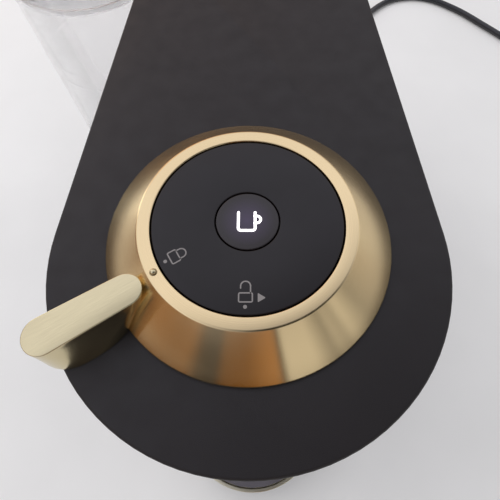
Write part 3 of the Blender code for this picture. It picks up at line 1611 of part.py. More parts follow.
def fin_gaps(back):
    """The gaps between the heater's cooling fins, as one cutting tool."""
    bm = bmesh.new()
    count = int(HEATER_H / HEATER_FIN_PITCH)
    for index in range(count):
        z = HEATER_BASE_Z + HEATER_FIN_PITCH * (index + 0.5)
        cube = bmesh.ops.create_cube(bm, size=1)["verts"]
        size = (HEATER_HALF * 2 + OVERRUN, HEATER_FIN_DEPTH * 2, HEATER_FIN_GAP)
        bmesh.ops.scale(bm, vec=size, verts=cube)
        bmesh.ops.translate(bm, vec=(0, back, z), verts=cube)
    return bodied("fin_gaps", bm)


def hose(name, route):
    """A hose whose first and last stretches stay straight, square to what they meet."""
    bent = smooth_points(route[1:-1], HOSE_R * 3)
    place(tube(name, [route[0], *bent, route[-1]], HOSE_R), "hose")


def build_hoses(pump_at, back):
    spacing = HOSE_R * 4
    pump_x, pump_y = pump_at
    hose(
        "inlet_hose",
        [
            (0, HEAD_REAR_Y, FITTING_TOP_Z + FIT),
            (0, HEAD_REAR_Y, FITTING_TOP_Z + HOSE_R),
            (0, HEAD_REAR_Y, FITTING_TOP_Z + spacing),
            (METER_X / 2, (HEAD_REAR_Y + METER_Y) / 2, METER_TOP_Z + spacing * 2),
            (METER_X, METER_Y, METER_TOP_Z + spacing),
            (METER_X, METER_Y, METER_TOP_Z + HOSE_R),
            (METER_X, METER_Y, METER_TOP_Z + FIT),
        ],
    )
    pump_top = PUMP_TOP_Z + PUMP_NOSE_H
    pressure = [
        (pump_x, pump_y, pump_top + FIT),
        (pump_x, pump_y, HEATER_BASE_Z - FIT),
    ]
    place(tube("pressure_hose", pressure, HOSE_R), "hose")
    heater_top = HEATER_BASE_Z + HEATER_H
    middle = back + HEATER_DEPTH / 2
    hose(
        "brew_hose",
        [
            (0, middle, heater_top + FIT),
            (0, middle, heater_top + HOSE_R),
            (0, back + HEATER_DEPTH, HEAD_BASE_Z - spacing),
            (0, HINGE_WALL_Y + HOSE_R * 2, HEAD_BASE_Z - HOSE_R),
            (0, HINGE_WALL_Y + spacing, HEAD_BASE_Z + spacing),
            (0, HINGE_WALL_Y + HOSE_R * 3, HINGE_Z - spacing * 1.5),
            (0, HINGE_WALL_Y + HOSE_R * 2, HINGE_Z - spacing),
        ],
    )


def cord_points():
    side = column_side(RELIEF_Y)
    floor = CORD_R + CORD_LIFT
    start = Vector((side + RELIEF_LEN + FIT, RELIEF_Y, RELIEF_Z))
    straight = start + Vector((CORD_R * 2, 0, 0))
    sloped = straight + Vector((CORD_R * 3, CORD_R * 2, (floor - RELIEF_Z) / 2))
    route = [straight, sloped]
    route += [(x, y, floor) for x, y in CORD_ROUTE]
    end, before = Vector(route[-1]), Vector(route[-2])
    flat = (end - before).normalized()
    tilt = math.radians(PLUG_TILT_DEG)
    climb = flat * math.cos(tilt) + Vector((0, 0, math.sin(tilt)))
    climb *= (plug_rest() - floor) / math.sin(tilt)
    return [start, *smooth_points(route, CORD_R * 6), end + climb]


def build_cord():
    points = cord_points()
    place(tube("mains_cord", points, CORD_R, 2), "glossy_black")
    side = column_side(RELIEF_Y)
    relief = turned(
        "strain_relief",
        [
            (0, 0),
            (RELIEF_FLANGE_R, 0),
            (RELIEF_FLANGE_R, RELIEF_FLANGE_H),
            (RELIEF_R, RELIEF_FLANGE_H),
            (CORD_R + PLAY, RELIEF_LEN + RELIEF_FLANGE_H),
            (0, RELIEF_LEN + RELIEF_FLANGE_H),
        ],
        steps=SMALL_STEPS,
    )
    relief.rotation_euler = (0, math.radians(90), 0)
    relief.location = (side - RELIEF_FLANGE_H, RELIEF_Y, RELIEF_Z)
    place(relief, "rubber")

    place(build_plug(points), "glossy_black")


def plug_rest():
    """How high the plug's tail lies when its side rests on the table."""
    tilt = math.radians(PLUG_TILT_DEG)
    return CORD_LIFT + max(
        PLUG_R * radius * math.cos(tilt) - PLUG_LEN * along * math.sin(tilt)
        for along, radius in PLUG_SHARES
    )


def build_plug(points):
    along = (points[-1] - points[-2]).normalized()
    profile = [(PLUG_R * radius, PLUG_LEN * share) for share, radius in PLUG_SHARES]
    plug = turned("mains_plug", [(0, 0), *profile, (0, PLUG_LEN)], steps=INNER_STEPS)
    plug.rotation_mode = "QUATERNION"
    plug.rotation_quaternion = along.to_track_quat("Z", "Y")
    plug.location = points[-1] + along * FIT
    aside = along.cross(Vector((0, 0, 1))).normalized()
    pins = []
    for index, side in enumerate((-1, 1)):
        root = plug.location + along * (PLUG_LEN - PLUG_PIN_R) + aside * (PLUG_PIN_HALF * side)
        tip = root + along * (PLUG_PIN_LEN + PLUG_PIN_R)
        pins.append(rod(f"plug_pin_{index}", PLUG_PIN_R, root, tip, SMALL_STEPS))
    add(plug, *pins)
    return plug


def main():
    build_base()
    build_column()
    build_rear_cap()
    build_brewing_unit()
    build_motor()
    build_belt()
    build_drum()
    build_bin()
    build_tray()
    build_arm()
    build_tank()
    head_axis = build_head()
    build_lever(head_axis)
    build_cage(head_axis)
    build_inner_works()
    build_cord()


clear_scene()
MACHINE = collection("capsule_coffee_machine")
CUTTERS = collection("cutters")
MATERIALS = make_materials()
main()
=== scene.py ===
"""Looks of the capsule coffee machine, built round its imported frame.

Metres, +Z up. The origin is on the table under the brewing axis, +X is the
user's right and +Y the machine's back. Heights come from the frame's boxes.
"""

import json
import math

import bmesh
import bpy
from mathutils import Matrix, Vector


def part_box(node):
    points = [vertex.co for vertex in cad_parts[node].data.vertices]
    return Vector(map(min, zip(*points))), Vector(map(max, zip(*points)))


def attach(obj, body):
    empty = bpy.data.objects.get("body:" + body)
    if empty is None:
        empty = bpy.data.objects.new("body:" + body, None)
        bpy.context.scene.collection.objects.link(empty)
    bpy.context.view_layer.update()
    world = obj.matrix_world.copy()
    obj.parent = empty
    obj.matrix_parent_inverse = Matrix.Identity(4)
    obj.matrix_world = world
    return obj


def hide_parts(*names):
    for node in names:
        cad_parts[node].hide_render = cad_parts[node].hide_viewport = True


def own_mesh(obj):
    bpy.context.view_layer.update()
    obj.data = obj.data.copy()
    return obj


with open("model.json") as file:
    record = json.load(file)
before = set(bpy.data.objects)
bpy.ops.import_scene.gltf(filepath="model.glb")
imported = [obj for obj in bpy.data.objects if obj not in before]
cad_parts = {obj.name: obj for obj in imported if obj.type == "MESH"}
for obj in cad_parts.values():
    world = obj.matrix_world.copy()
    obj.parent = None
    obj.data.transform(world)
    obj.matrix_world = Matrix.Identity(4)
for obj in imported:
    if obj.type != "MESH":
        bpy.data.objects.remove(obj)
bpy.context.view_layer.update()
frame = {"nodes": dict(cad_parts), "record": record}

MM = 0.001
FIT = 0.3 * MM
OVERCUT = 1 * MM
WELD_REACH = 0.01 * MM
ON_AXIS = 0.01 * MM

# Plan of the machine, two circles joined by tangents, as (centre's y, radius)
PLAN_FRONT = (-4.7 * MM, 71.8 * MM)
PLAN_REAR = (200 * MM, 50.5 * MM)
PLAN_STEPS = 48
ROUND_STEPS = 128
SMALL_ROUND_STEPS = 48
CURVE_STEPS = 24
LEVER_END_STEPS = 14
LEVER_LEVELS = 12
LEVER_EDGE_STEPS = 3
STUD_STEPS = 6
LINE_END_STEPS = 8
RELIEF_RIBS = 6
MESH_CREASE_DEG = 35
RING_CREASE_DEG = 28
PLATE_EDGE_DEG = 50

# Heights and places read from the frame
PLATE_LOW, PLATE_TOP = (corner.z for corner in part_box("top_plate"))
HINGE_Y = (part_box("hinge_pin")[0].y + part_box("hinge_pin")[1].y) / 2
HINGE_Z = (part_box("hinge_pin")[0].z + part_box("hinge_pin")[1].z) / 2
DISC_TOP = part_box("control_disc")[1].z
DISC_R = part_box("control_disc")[1].x
BUTTON_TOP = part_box("coffee_button")[1].z
RING_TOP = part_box("lock_lever")[1].z
TANK_X = (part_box("water_tank")[0].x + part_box("water_tank")[1].x) / 2
TANK_Y = (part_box("water_tank")[0].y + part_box("water_tank")[1].y) / 2
TRAY_Y = (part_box("cup_ring")[0].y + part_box("cup_ring")[1].y) / 2

# Housings whose moulded edges are softened over their facets
SOFT_EDGED = (
    "base_foot",
    "column_shell",
    "rear_cap",
    "head_shell",
    "capsule_container",
    "drip_tray",
    "swivel_arm",
)
HOUSING_EDGE = 0.5 * MM
CREASE_DEG = 32
SPLIT_DEG = 50

# Camera of the photograph: a pinhole above the front edge of the dial
CAMERA_AT = (2.56 * MM, -60.9 * MM, 383.6 * MM)
CAMERA_TILT_DEG = 23.40
CAMERA_PAN_DEG = 1.87
CAMERA_ROLL_DEG = -1.74
CAMERA_LENS = 28.8
CAMERA_SENSOR = 36
CAMERA_NEAR = 1 * MM

# Mains cord: its route over the table, as (x, y), from the strain relief to the plug
CORD_R = 3.5 * MM
CORD_FLOOR = CORD_R + FIT
CORD_TURN_R = 25 * MM
CORD_TURN_STEPS = 3
CORD_ROUTE = (
    (0.1122, 0.165),
    (0.1110, 0.190),
    (0.1100, 0.225),
    (0.110, 0.270),
    (0.113, 0.320),
    (0.122, 0.370),
    (0.138, 0.420),
    (0.163, 0.463),
    (0.200, 0.4895),
    (0.242, 0.4905),
    (0.280, 0.467),
    (0.312, 0.434),
    (0.340, 0.402),
    (0.362, 0.370),
    (0.378, 0.338),
    (0.388, 0.308),
)
RELIEF_FLANGE_R = 8 * MM
RELIEF_R = 6.2 * MM
PLUG_LEN = 50 * MM
PLUG_EASE = 3 * MM
PLUG_R = 16.5 * MM
PLUG_TILT_DEG = 12
PLUG_SHARES = (
    (0.0, 0.26),
    (0.12, 0.34),
    (0.24, 0.62),
    (0.49, 0.90),
    (0.62, 1.0),
    (0.93, 1.0),
    (1.0, 0.94),
)

RELIEF_FLANGE_H = 3 * MM
RIB_DEPTH = 0.7 * MM
PIN_R = 2.4 * MM
PIN_LEN = 18 * MM
PIN_HALF = 9.5 * MM

# Top plate, lock ring and lever
PLATE_EDGE = 1.2 * MM
PLATE_GAP = 0.4 * MM
BUSH_TRIM = 0.3 * MM
BARREL_R = 5 * MM
BARREL_HALF = 40 * MM
RING_BORE_R = 32.1 * MM
RING_TOP_R = 36.4 * MM
RING_BASE_R = 51 * MM
RING_EDGE = 0.5 * MM
RING_CROWN = 3 * MM
NECK_R = 43.5 * MM
NECK_WALL = 3 * MM
LEVER_DEG = 211.8
LEVER_DROP = 1 * MM
LEVER_INNER_R = 39 * MM
LEVER_OUTER_R = 77.5 * MM
LEVER_HALF_W = 5.4 * MM
LEVER_OUTER_HALF_W = 6.1 * MM
LEVER_FOOT_R = 64.5 * MM
LEVER_FOOT_FLAT = 2 * MM
LEVER_FOOT_HALF_W = 9.9 * MM
LEVER_FOOT_OUT = 12 * MM
LEVER_FOOT_IN = 17.5 * MM
LEVER_EDGE = 0.3 * MM
LEVER_FLARE_POWER = 1.3
STUD_SHARE = 0.8

# Dial, button and the symbols on them
DISC_THICK = 2.5 * MM
DISC_EDGE = 0.35 * MM
PILLAR_R = 16.5 * MM
PILLAR_BORE_R = 13.5 * MM
BUTTON_R = 10.35 * MM
BUTTON_GAP = 0.45 * MM
BUTTON_FLANGE_R = 13.2 * MM
BUTTON_FLANGE_H = 1.5 * MM
BUTTON_STEM_R = 3 * MM
SPRING_WIRE_R = 0.35 * MM
SPRING_TURNS = 3
SPRING_STEPS = 24
SPRING_SIDES = 8
GRAPHIC_LIFT = 0.04 * MM
GLOW_R = 9 * MM
GLOW_STRENGTH = 0.06
GLOW_COLOUR = (0.55, 0.38, 0.95)
CUP_AT = (-0.2 * MM, -0.25 * MM)
CUP_HALF_W = 2.75 * MM
CUP_HALF_H = 3.3 * MM
CUP_LINE = 0.9 * MM
CUP_HANDLE_Y = 0.7 * MM
CUP_HANDLE_R = 1.3 * MM
CUP_HANDLE_OUT = 0.5 * MM
CUP_HANDLE_LINE = 0.85 * MM
LOCK_HALF_W = 2.08 * MM
LOCK_HALF_H = 1.42 * MM
LOCK_LINE = 0.43 * MM
LOCK_BOW_R = 1.52 * MM
LOCK_BOW_RISE = 1.15 * MM
LOCK_SHACKLE_H = 2.2 * MM
CLOSED_LOCK_AT = (-23.12 * MM, -12.82 * MM)
CLOSED_LOCK_DEG = -59
CLOSED_DOT_AT = (-25.75 * MM, -14.40 * MM)
OPEN_LOCK_AT = (-0.38 * MM, -26.09 * MM)
OPEN_DOT_AT = (-0.50 * MM, -29.01 * MM)
DOT_R = 0.6 * MM
ARROW_AT = (3.32 * MM, -26.16 * MM)
ARROW_HALF_H = 1.5 * MM
ARROW_LEN = 2.45 * MM

# Tank, lid and cup ring
TANK_WALL = 1.2 * MM
TANK_FLOOR = 3 * MM
TANK_TAPER = 1.2 * MM
TANK_STEP_W = 0.8 * MM
TANK_STEP_H = 6 * MM
TANK_PORT_R = 9 * MM
TANK_EASE = 0.5 * MM
TANK_BEADS_Z = (172 * MM, 183 * MM)
TANK_BEAD_H = 1.2 * MM
TANK_BEAD_OUT = 0.2 * MM
LID_CROWN_H = 1.7 * MM
LID_WALL = 2.2 * MM
LID_PLUG_W = 2 * MM
CUP_RING_W = 2.6 * MM
CUP_RING_EDGE = 0.6 * MM
CUP_LEDGE_W = 2.4 * MM
CUP_LEDGE_H = 1 * MM

# Colours, and the light
CHARCOAL = (0.0095, 0.0070, 0.0082)
DIAL_BLACK = (0.0080, 0.0058, 0.0070)
BUTTON_BLACK = (0.017, 0.013, 0.0150)
GOLD = (0.80, 0.620, 0.355)
PALE_GOLD = (0.66, 0.570, 0.360)
# Gold of the cup ring, paled towards white by a painted highlight
CUP_GOLD_AND_HIGHLIGHT = (0.96, 0.88, 0.66)
CLEAR_IOR = 1.30
CLEAR_ALPHA = 0.35
LID_ALPHA = 0.70
PLATE_SPECULAR = 0.50
DIAL_SPECULAR = 0.40
TABLE_WHITE = (0.90, 0.89, 0.895)
FLOOR_HALF = 4.0
# Grain and bump of the materials, and the size of the patches in which they drift
MOULD_GRAIN = 0.35 * MM
MOULD_DEPTH = 0.03 * MM
MOULD_VARY = 0.10
TONE_PATCH = 22 * MM
POLISH_PATCH = 9 * MM
SMEAR_PATCH = 18 * MM
METAL_PATCH = 20 * MM
TABLE_PATCH = 120 * MM
GROOVE_W = 0.16 * MM
GROOVE_DEPTH = 0.004 * MM
GROOVE_SLOPE = 0.37
BRUSH_STRETCH = (40, 1, 1)
BRUSH_GRAIN = 0.12 * MM
BRUSH_DEPTH = 0.006 * MM
RIPPLE_W = 14 * MM
RIPPLE_DEPTH = 0.05 * MM
FLICKER_W = 0.8 * MM
BUTTON_GRAIN = 0.25 * MM
BUTTON_DEPTH = 0.008 * MM
PRINT_GRAIN = 0.3 * MM
PRINT_DEPTH = 0.003 * MM
WORLD_SEEN = (0.70, 0.69, 0.69)
WORLD_FILL = (0.66, 0.66, 0.67)
# Soft panels round the room, as (degrees to the right of the front, level, warmth)
PANELS = (
    (-180, 0.34, 0.7),
    (-160, 0.74, 0.75),
    (-145, 1.05, 0.6),
    (-138, 0.95, 0.35),
    (-130, 2.10, 0),
    (-124, 2.00, 0),
    (-118, 0.55, 0.3),
    (-110, 0.26, 0.7),
    (-97, 0.25, 0.7),
    (-88, 0.50, 0.3),
    (-75, 0.19, 0.9),
    (-61, 0.31, 0.85),
    (-45, 0.23, 0.9),
    (-36, 0.24, 0.85),
    (-28, 0.03, 0.8),
    (-19, 0.01, 0.8),
    (-14, 0.15, 1),
    (-1, 0.20, 1),
    (16, 0.47, 0.8),
    (19, 0.08, 0.2),
    (22, 0.78, 0),
    (38, 0.78, 0),
    (44, 0.54, 0),
    (49, 0.36, 0),
    (53, 0.56, 0),
    (58, 0.47, 0),
    (63, 0.73, 0),
    (75, 0.37, 0),
    (97, 0.56, 0.1),
    (108, 0.73, 0),
    (120, 0.70, 0),
    (180, 0.34, 0.7),
)
WARM_SHARE = 0.6
PANEL_SPAN = (0.30, 0.65)
DARK_OVERHEAD = 0.02
LIGHT_OVERHEAD = 1.05
OVERHEAD_TINT = (1.0, 1.02, 1.14)
DARK_TOWARD = (0.40, -0.42, 0.81)
OVERHEAD_SPAN = (0.40, 0.95)
LAMPS = (
    ("key", (-0.9, 0.7, 1.4), (0, 0.05, 0.2), (1.7, 1.3), 10.5, (1.0, 0.98, 0.96)),
    ("fill", (1.1, 0.9, 1.2), (0, 0.05, 0.2), (1.2, 0.9), 1.2, (0.98, 0.99, 1.0)),
)


def make_camera():
    tilt, pan, roll = (
        math.radians(angle) for angle in (CAMERA_TILT_DEG, CAMERA_PAN_DEG, CAMERA_ROLL_DEG)
    )
    turn = Matrix.Rotation(pan, 3, "Z")
    ahead = turn @ Vector((0, math.sin(tilt), -math.cos(tilt)))
    level_up = turn @ Vector((0, math.cos(tilt), math.sin(tilt)))
    level_right = turn @ Vector((1, 0, 0))
    right = level_right * math.cos(roll) + level_up * math.sin(roll)
    up = level_up * math.cos(roll) - level_right * math.sin(roll)
    camera = bpy.data.objects.new("camera", bpy.data.cameras.new("camera"))
    camera.data.lens = CAMERA_LENS
    camera.data.sensor_width = CAMERA_SENSOR
    camera.data.clip_start = CAMERA_NEAR
    camera.matrix_world = Matrix.LocRotScale(
        Vector(CAMERA_AT), Matrix((right, up, -ahead)).transposed(), None
    )
    bpy.context.scene.collection.objects.link(camera)
    bpy.context.scene.camera = camera


def smooth_points(route, spacing):
    """Points at even spacing on a smooth curve through the route."""
    ends = [2 * route[0] - route[1], *route, 2 * route[-1] - route[-2]]
    fine = []
    for p0, p1, p2, p3 in zip(ends, ends[1:], ends[2:], ends[3:]):
        for step in range(CURVE_STEPS):
            t = step / CURVE_STEPS
            bend = (2 * p0 - 5 * p1 + 4 * p2 - p3) * t**2
            twist = (3 * p1 - p0 - 3 * p2 + p3) * t**3
            fine.append((2 * p1 + (p2 - p0) * t + bend + twist) / 2)
    fine.append(route[-1])
    total = sum((b - a).length for a, b in zip(fine, fine[1:]))
    wanted = round(total / spacing)
    points = [fine[0]]
    walked = 0.0
    for a, b in zip(fine, fine[1:]):
        step = (b - a).length
        while len(points) < wanted and walked + step >= total * len(points) / wanted:
            points.append(a.lerp(b, (total * len(points) / wanted - walked) / step))
        walked += step
    return [*points, fine[-1]]


def plug_rest():
    """How high the plug's tail lies when its side rests on the table."""
    tilt = math.radians(PLUG_TILT_DEG)
    return FIT + max(
        PLUG_R * radius * math.cos(tilt) - PLUG_LEN * along * math.sin(tilt)
        for along, radius in PLUG_SHARES
    )


def cord_points():
    relief_low, relief_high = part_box("strain_relief")
    start = (relief_low + relief_high) / 2
    start.x = relief_high.x + FIT
    straight = start + Vector((CORD_R * 2, 0, 0))
    route = [straight]
    for step in range(1, CORD_TURN_STEPS + 1):
        angle = math.pi / 2 * step / CORD_TURN_STEPS
        share = step / (CORD_TURN_STEPS + 1)
        fall = (CORD_FLOOR - start.z) * share**2 * (3 - 2 * share)
        aside = Vector((CORD_TURN_R * math.sin(angle), CORD_TURN_R * (1 - math.cos(angle)), fall))
        route.append(straight + aside)
    route += [Vector((x, y, CORD_FLOOR)) for x, y in CORD_ROUTE]
    flat = (route[-1] - route[-2]).normalized()
    tilt = math.radians(PLUG_TILT_DEG)
    climb = flat * math.cos(tilt) + Vector((0, 0, math.sin(tilt)))
    climb *= (plug_rest() - CORD_FLOOR) / math.sin(tilt)
    return [start, *smooth_points(route, CORD_R * 3), route[-1] + climb]


def make_cord(points):
    curve = bpy.data.curves.new("mains_lead", "CURVE")
    curve.dimensions = "3D"
    curve.bevel_depth = CORD_R
    curve.bevel_resolution = 8
    curve.use_fill_caps = True
    spline = curve.splines.new("POLY")
    spline.points.add(len(points) - 1)
    for point, co in zip(spline.points, points):
        point.co = (*co, 1)
    curve.materials.append(FINISHES["cord_black"])
    lead = bpy.data.objects.new("mains_lead", curve)
    bpy.context.scene.collection.objects.link(lead)
    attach(lead, "base")
    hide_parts("mains_cord")


def linked(piece, body, slot, *nodes):
    """Sets a finished piece in the scene: what it rides on, its slot and the nodes it stands for."""
    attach(piece, body)
    if nodes:
        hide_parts(*nodes)
    piece.data.materials.append(FINISHES[slot])
    return piece


def mesh_piece(name, bm, crease_deg=MESH_CREASE_DEG):
    bmesh.ops.recalc_face_normals(bm, faces=bm.faces)
    mesh = bpy.data.meshes.new(name)
    bm.to_mesh(mesh)
    bm.free()
    mesh.shade_smooth()
    mesh.set_sharp_from_angle(angle=math.radians(crease_deg))
    piece = bpy.data.objects.new(name, mesh)
    bpy.context.scene.collection.objects.link(piece)
    return piece


def eased(points, reach, steps=4, closed=True):
    """An outline whose corners are rounded off over a reach along both sides."""
    points = [Vector(point) for point in points]
    out = []
    for index, corner in enumerate(points):
        before, after = points[index - 1], points[(index + 1) % len(points)]
        if not closed and index in (0, len(points) - 1):
            out.append(corner)
            continue
        into = before - corner
        away = after - corner
        first = corner + into.normalized() * min(reach, into.length * 0.45)
        last = corner + away.normalized() * min(reach, away.length * 0.45)
        for step in range(steps + 1):
            t = step / steps
            out.append(first * (1 - t) ** 2 + corner * 2 * t * (1 - t) + last * t**2)
    return out


def lathe(name, profile, centre=(0, 0), steps=ROUND_STEPS, closed=True, crease_deg=MESH_CREASE_DEG):
    """A profile of (radius, height) turned about the vertical through centre."""
    bm = bmesh.new()
    rings = []
    for radius, height in profile:
        if radius < ON_AXIS:
            rings.append([bm.verts.new((*centre, height))])
            continue
        ring = []
        for step in range(steps):
            angle = 2 * math.pi * step / steps
            x, y = radius * math.cos(angle), radius * math.sin(angle)
            ring.append(bm.verts.new((centre[0] + x, centre[1] + y, height)))
        rings.append(ring)
    pairs = list(zip(rings, rings[1:]))
    if closed:
        pairs.append((rings[-1], rings[0]))
    for lower, upper in pairs:
        if len(lower) == 1 and len(upper) == 1:
            continue
        for step in range(steps):
            turn = (step + 1) % steps
            corners = [lower[step % len(lower)], lower[turn % len(lower)]]
            corners += [upper[turn % len(upper)], upper[step % len(upper)]]
            bm.faces.new(dict.fromkeys(corners))
    return mesh_piece(name, bm, crease_deg)


def loft(name, sections):
    """A skin over loops of equal count, each given with its height, closed at both ends."""
    bm = bmesh.new()
    rings = [[bm.verts.new((x, y, z)) for x, y in loop] for loop, z in sections]
    for lower, upper in zip(rings, rings[1:]):
        for index in range(len(lower)):
            turn = (index + 1) % len(lower)
            bm.faces.new((lower[index], lower[turn], upper[turn], upper[index]))
    bm.faces.new(rings[0][::-1])
    bm.faces.new(rings[-1])
    return mesh_piece(name, bm)


def rod(name, radius, start, end, steps=SMALL_ROUND_STEPS):
    """A cylinder between two points."""
    start, end = Vector(start), Vector(end)
    bm = bmesh.new()
    turn = (end - start).to_track_quat("Z", "Y").to_matrix().to_4x4()
    bmesh.ops.create_cone(
        bm,
        cap_ends=True,
        segments=steps,
        radius1=radius,
        radius2=radius,
        depth=(end - start).length,
        matrix=Matrix.Translation((start + end) / 2) @ turn,
    )
    return mesh_piece(name, bm)


def carved(piece, tools, operation="DIFFERENCE"):
    """Cuts or joins the tools at once and takes them away."""
    for tool in tools:
        modifier = piece.modifiers.new(tool.name, "BOOLEAN")
        modifier.operation = operation
        modifier.object = tool
    graph = bpy.context.evaluated_depsgraph_get()
    mesh = bpy.data.meshes.new_from_object(piece.evaluated_get(graph))
    piece.modifiers.clear()
    piece.data = mesh
    mesh.shade_smooth()
    mesh.set_sharp_from_angle(angle=math.radians(MESH_CREASE_DEG))
    for tool in tools:
        bpy.data.objects.remove(tool)
    return piece


def plan():
    """The machine's outline from above: two circles and their tangents."""
    (front_y, front_r), (rear_y, rear_r) = PLAN_FRONT, PLAN_REAR
    lean = math.asin((front_r - rear_r) / (rear_y - front_y))
    loop = []
    for centre, radius, start, sweep in (
        (front_y, front_r, math.pi - lean, math.pi + 2 * lean),
        (rear_y, rear_r, lean, math.pi - 2 * lean),
    ):
        for step in range(PLAN_STEPS + 1):
            angle = start + sweep * step / PLAN_STEPS
            loop.append((radius * math.cos(angle), centre + radius * math.sin(angle)))
    return loop


def clipped(loop, y):
    """The part of a loop in front of the line at y."""
    kept = []
    for (x0, y0), (x1, y1) in zip(loop, loop[1:] + loop[:1]):
        inside0 = y >= y0
        inside1 = y >= y1
        if inside0:
            kept.append((x0, y0))
        if inside0 != inside1:
            share = (y - y0) / (y1 - y0)
            kept.append((x0 + share * (x1 - x0), y))
    return kept


def node(tree, kind, inputs, **settings):
    """A shader node with its settings, each input a value or another node's socket."""
    made = tree.nodes.new("ShaderNode" + kind)
    for name, value in settings.items():
        setattr(made, name, value)
    for name, value in inputs.items():
        if isinstance(value, bpy.types.NodeSocket):
            tree.links.new(value, made.inputs[name])
        else:
            made.inputs[name].default_value = value
    return made


def shader_of(name, colour, roughness, metallic=0.0, **constants):
    material = bpy.data.materials.new(name)
    material.use_nodes = True
    tree = material.node_tree
    shader = tree.nodes["Principled BSDF"]
    values = {"Base Color": (*colour, 1), "Roughness": roughness, "Metallic": metallic}
    for socket, value in {**values, **constants}.items():
        shader.inputs[socket].default_value = value
    return material, tree, shader


def place_of(tree):
    return tree.nodes.new("ShaderNodeTexCoord").outputs["Object"]


def noise(tree, at, size, detail=3.0, stretch=(1, 1, 1)):
    """Noise whose lumps are about that size in metres, drawn out by the stretch."""
    scale = tuple(1 / (size * share) for share in stretch)
    scaled = node(tree, "VectorMath", {0: at, 1: scale}, operation="MULTIPLY")
    made = node(tree, "TexNoise", {"Vector": scaled.outputs[0], "Scale": 1.0, "Detail": detail})
    return made.outputs["Fac"]


def ranged(tree, value, low, high, span=(0.3, 0.7)):
    """The value's middle span spread between low and high."""
    inputs = {"Value": value, "From Min": span[0], "From Max": span[1], "To Min": low, "To Max": high}
    return node(tree, "MapRange", inputs).outputs["Result"]


def tinted(tree, value, first, second):
    made = tree.nodes.new("ShaderNodeMix")
    made.data_type = "RGBA"
    tree.links.new(value, made.inputs[0])
    made.inputs["A"].default_value = (*first, 1)
    made.inputs["B"].default_value = (*second, 1)
    return made.outputs["Result"]


def shaded(colour, factor):
    return tuple(min(1.0, channel * factor) for channel in colour)


def bumped(tree, shader, height, depth):
    made = node(tree, "Bump", {"Height": height, "Distance": depth, "Strength": 1.0})
    tree.links.new(made.outputs["Normal"], shader.inputs["Normal"])


def moulded(
    name, colour, roughness, grain=MOULD_GRAIN, depth=MOULD_DEPTH, vary=MOULD_VARY, **constants
):
    """Moulded plastic or rubber: a fine grain, and tone and polish that drift a little."""
    material, tree, shader = shader_of(name, colour, roughness, **constants)
    at = place_of(tree)
    drift = noise(tree, at, TONE_PATCH)
    tone = tinted(
        tree,
        ranged(tree, drift, 0.0, 1.0),
        shaded(colour, 1 - vary),
        shaded(colour, 1 + vary),
    )
    tree.links.new(tone, shader.inputs["Base Color"])
    polish = ranged(tree, noise(tree, at, POLISH_PATCH), roughness * 0.92, roughness * 1.08)
    tree.links.new(polish, shader.inputs["Roughness"])
    bumped(tree, shader, noise(tree, at, grain, 2.0), depth)
    return material


def turned_metal(name, colour, roughness, centre=(0, 0)):
    """Metal turned on a lathe: grooves round the axis, and a sheen drawn across them."""
    material, tree, shader = shader_of(
        name, colour, roughness, 1.0, **{"Anisotropic": 0.95, "Anisotropic Rotation": 0.25}
    )
    at = place_of(tree)
    moved = node(tree, "VectorMath", {0: at, 1: (-centre[0], -centre[1], 0)}, operation="ADD")
    parts = node(tree, "SeparateXYZ", {"Vector": moved.outputs[0]})
    flat = node(tree, "CombineXYZ", {"X": parts.outputs["X"], "Y": parts.outputs["Y"]})
    radius = node(tree, "VectorMath", {0: flat.outputs[0]}, operation="LENGTH").outputs["Value"]
    level = node(tree, "Math", {0: parts.outputs["Z"], 1: GROOVE_SLOPE}, operation="MULTIPLY")
    along = node(tree, "Math", {0: radius, 1: level.outputs[0]}, operation="SUBTRACT")
    count = node(tree, "Math", {0: along.outputs[0], 1: 1 / GROOVE_W}, operation="MULTIPLY")
    grooves = tree.nodes.new("ShaderNodeTexNoise")
    grooves.noise_dimensions = "1D"
    grooves.inputs["Scale"].default_value = 1.0
    grooves.inputs["Detail"].default_value = 3.0
    tree.links.new(count.outputs[0], grooves.inputs["W"])
    bumped(tree, shader, grooves.outputs["Fac"], GROOVE_DEPTH)
    tone = tinted(
        tree,
        ranged(tree, grooves.outputs["Fac"], 0.0, 1.0),
        shaded(colour, 0.93),
        shaded(colour, 1.05),
    )
    tree.links.new(tone, shader.inputs["Base Color"])
    smear = ranged(tree, noise(tree, at, SMEAR_PATCH), roughness * 0.95, roughness * 1.08)
    tree.links.new(smear, shader.inputs["Roughness"])
    tangent = node(tree, "Tangent", {}, direction_type="RADIAL", axis="Z")
    tree.links.new(tangent.outputs["Tangent"], shader.inputs["Tangent"])
    return material


def brushed_metal(name, colour, roughness, turn_deg):
    """Metal brushed along one direction, turned from +X by an angle."""
    material, tree, shader = shader_of(name, colour, roughness, 1.0)
    at = place_of(tree)
    turned = node(
        tree,
        "VectorRotate",
        {"Vector": at, "Angle": math.radians(-turn_deg)},
        rotation_type="Z_AXIS",
    )
    lines = noise(tree, turned.outputs[0], BRUSH_GRAIN, 3.0, BRUSH_STRETCH)
    bumped(tree, shader, lines, BRUSH_DEPTH)
    tone = tinted(tree, ranged(tree, lines, 0.0, 1.0), shaded(colour, 0.94), shaded(colour, 1.04))
    tree.links.new(tone, shader.inputs["Base Color"])
    polish = ranged(tree, noise(tree, at, METAL_PATCH), roughness * 0.95, roughness * 1.08)
    tree.links.new(polish, shader.inputs["Roughness"])
    return material


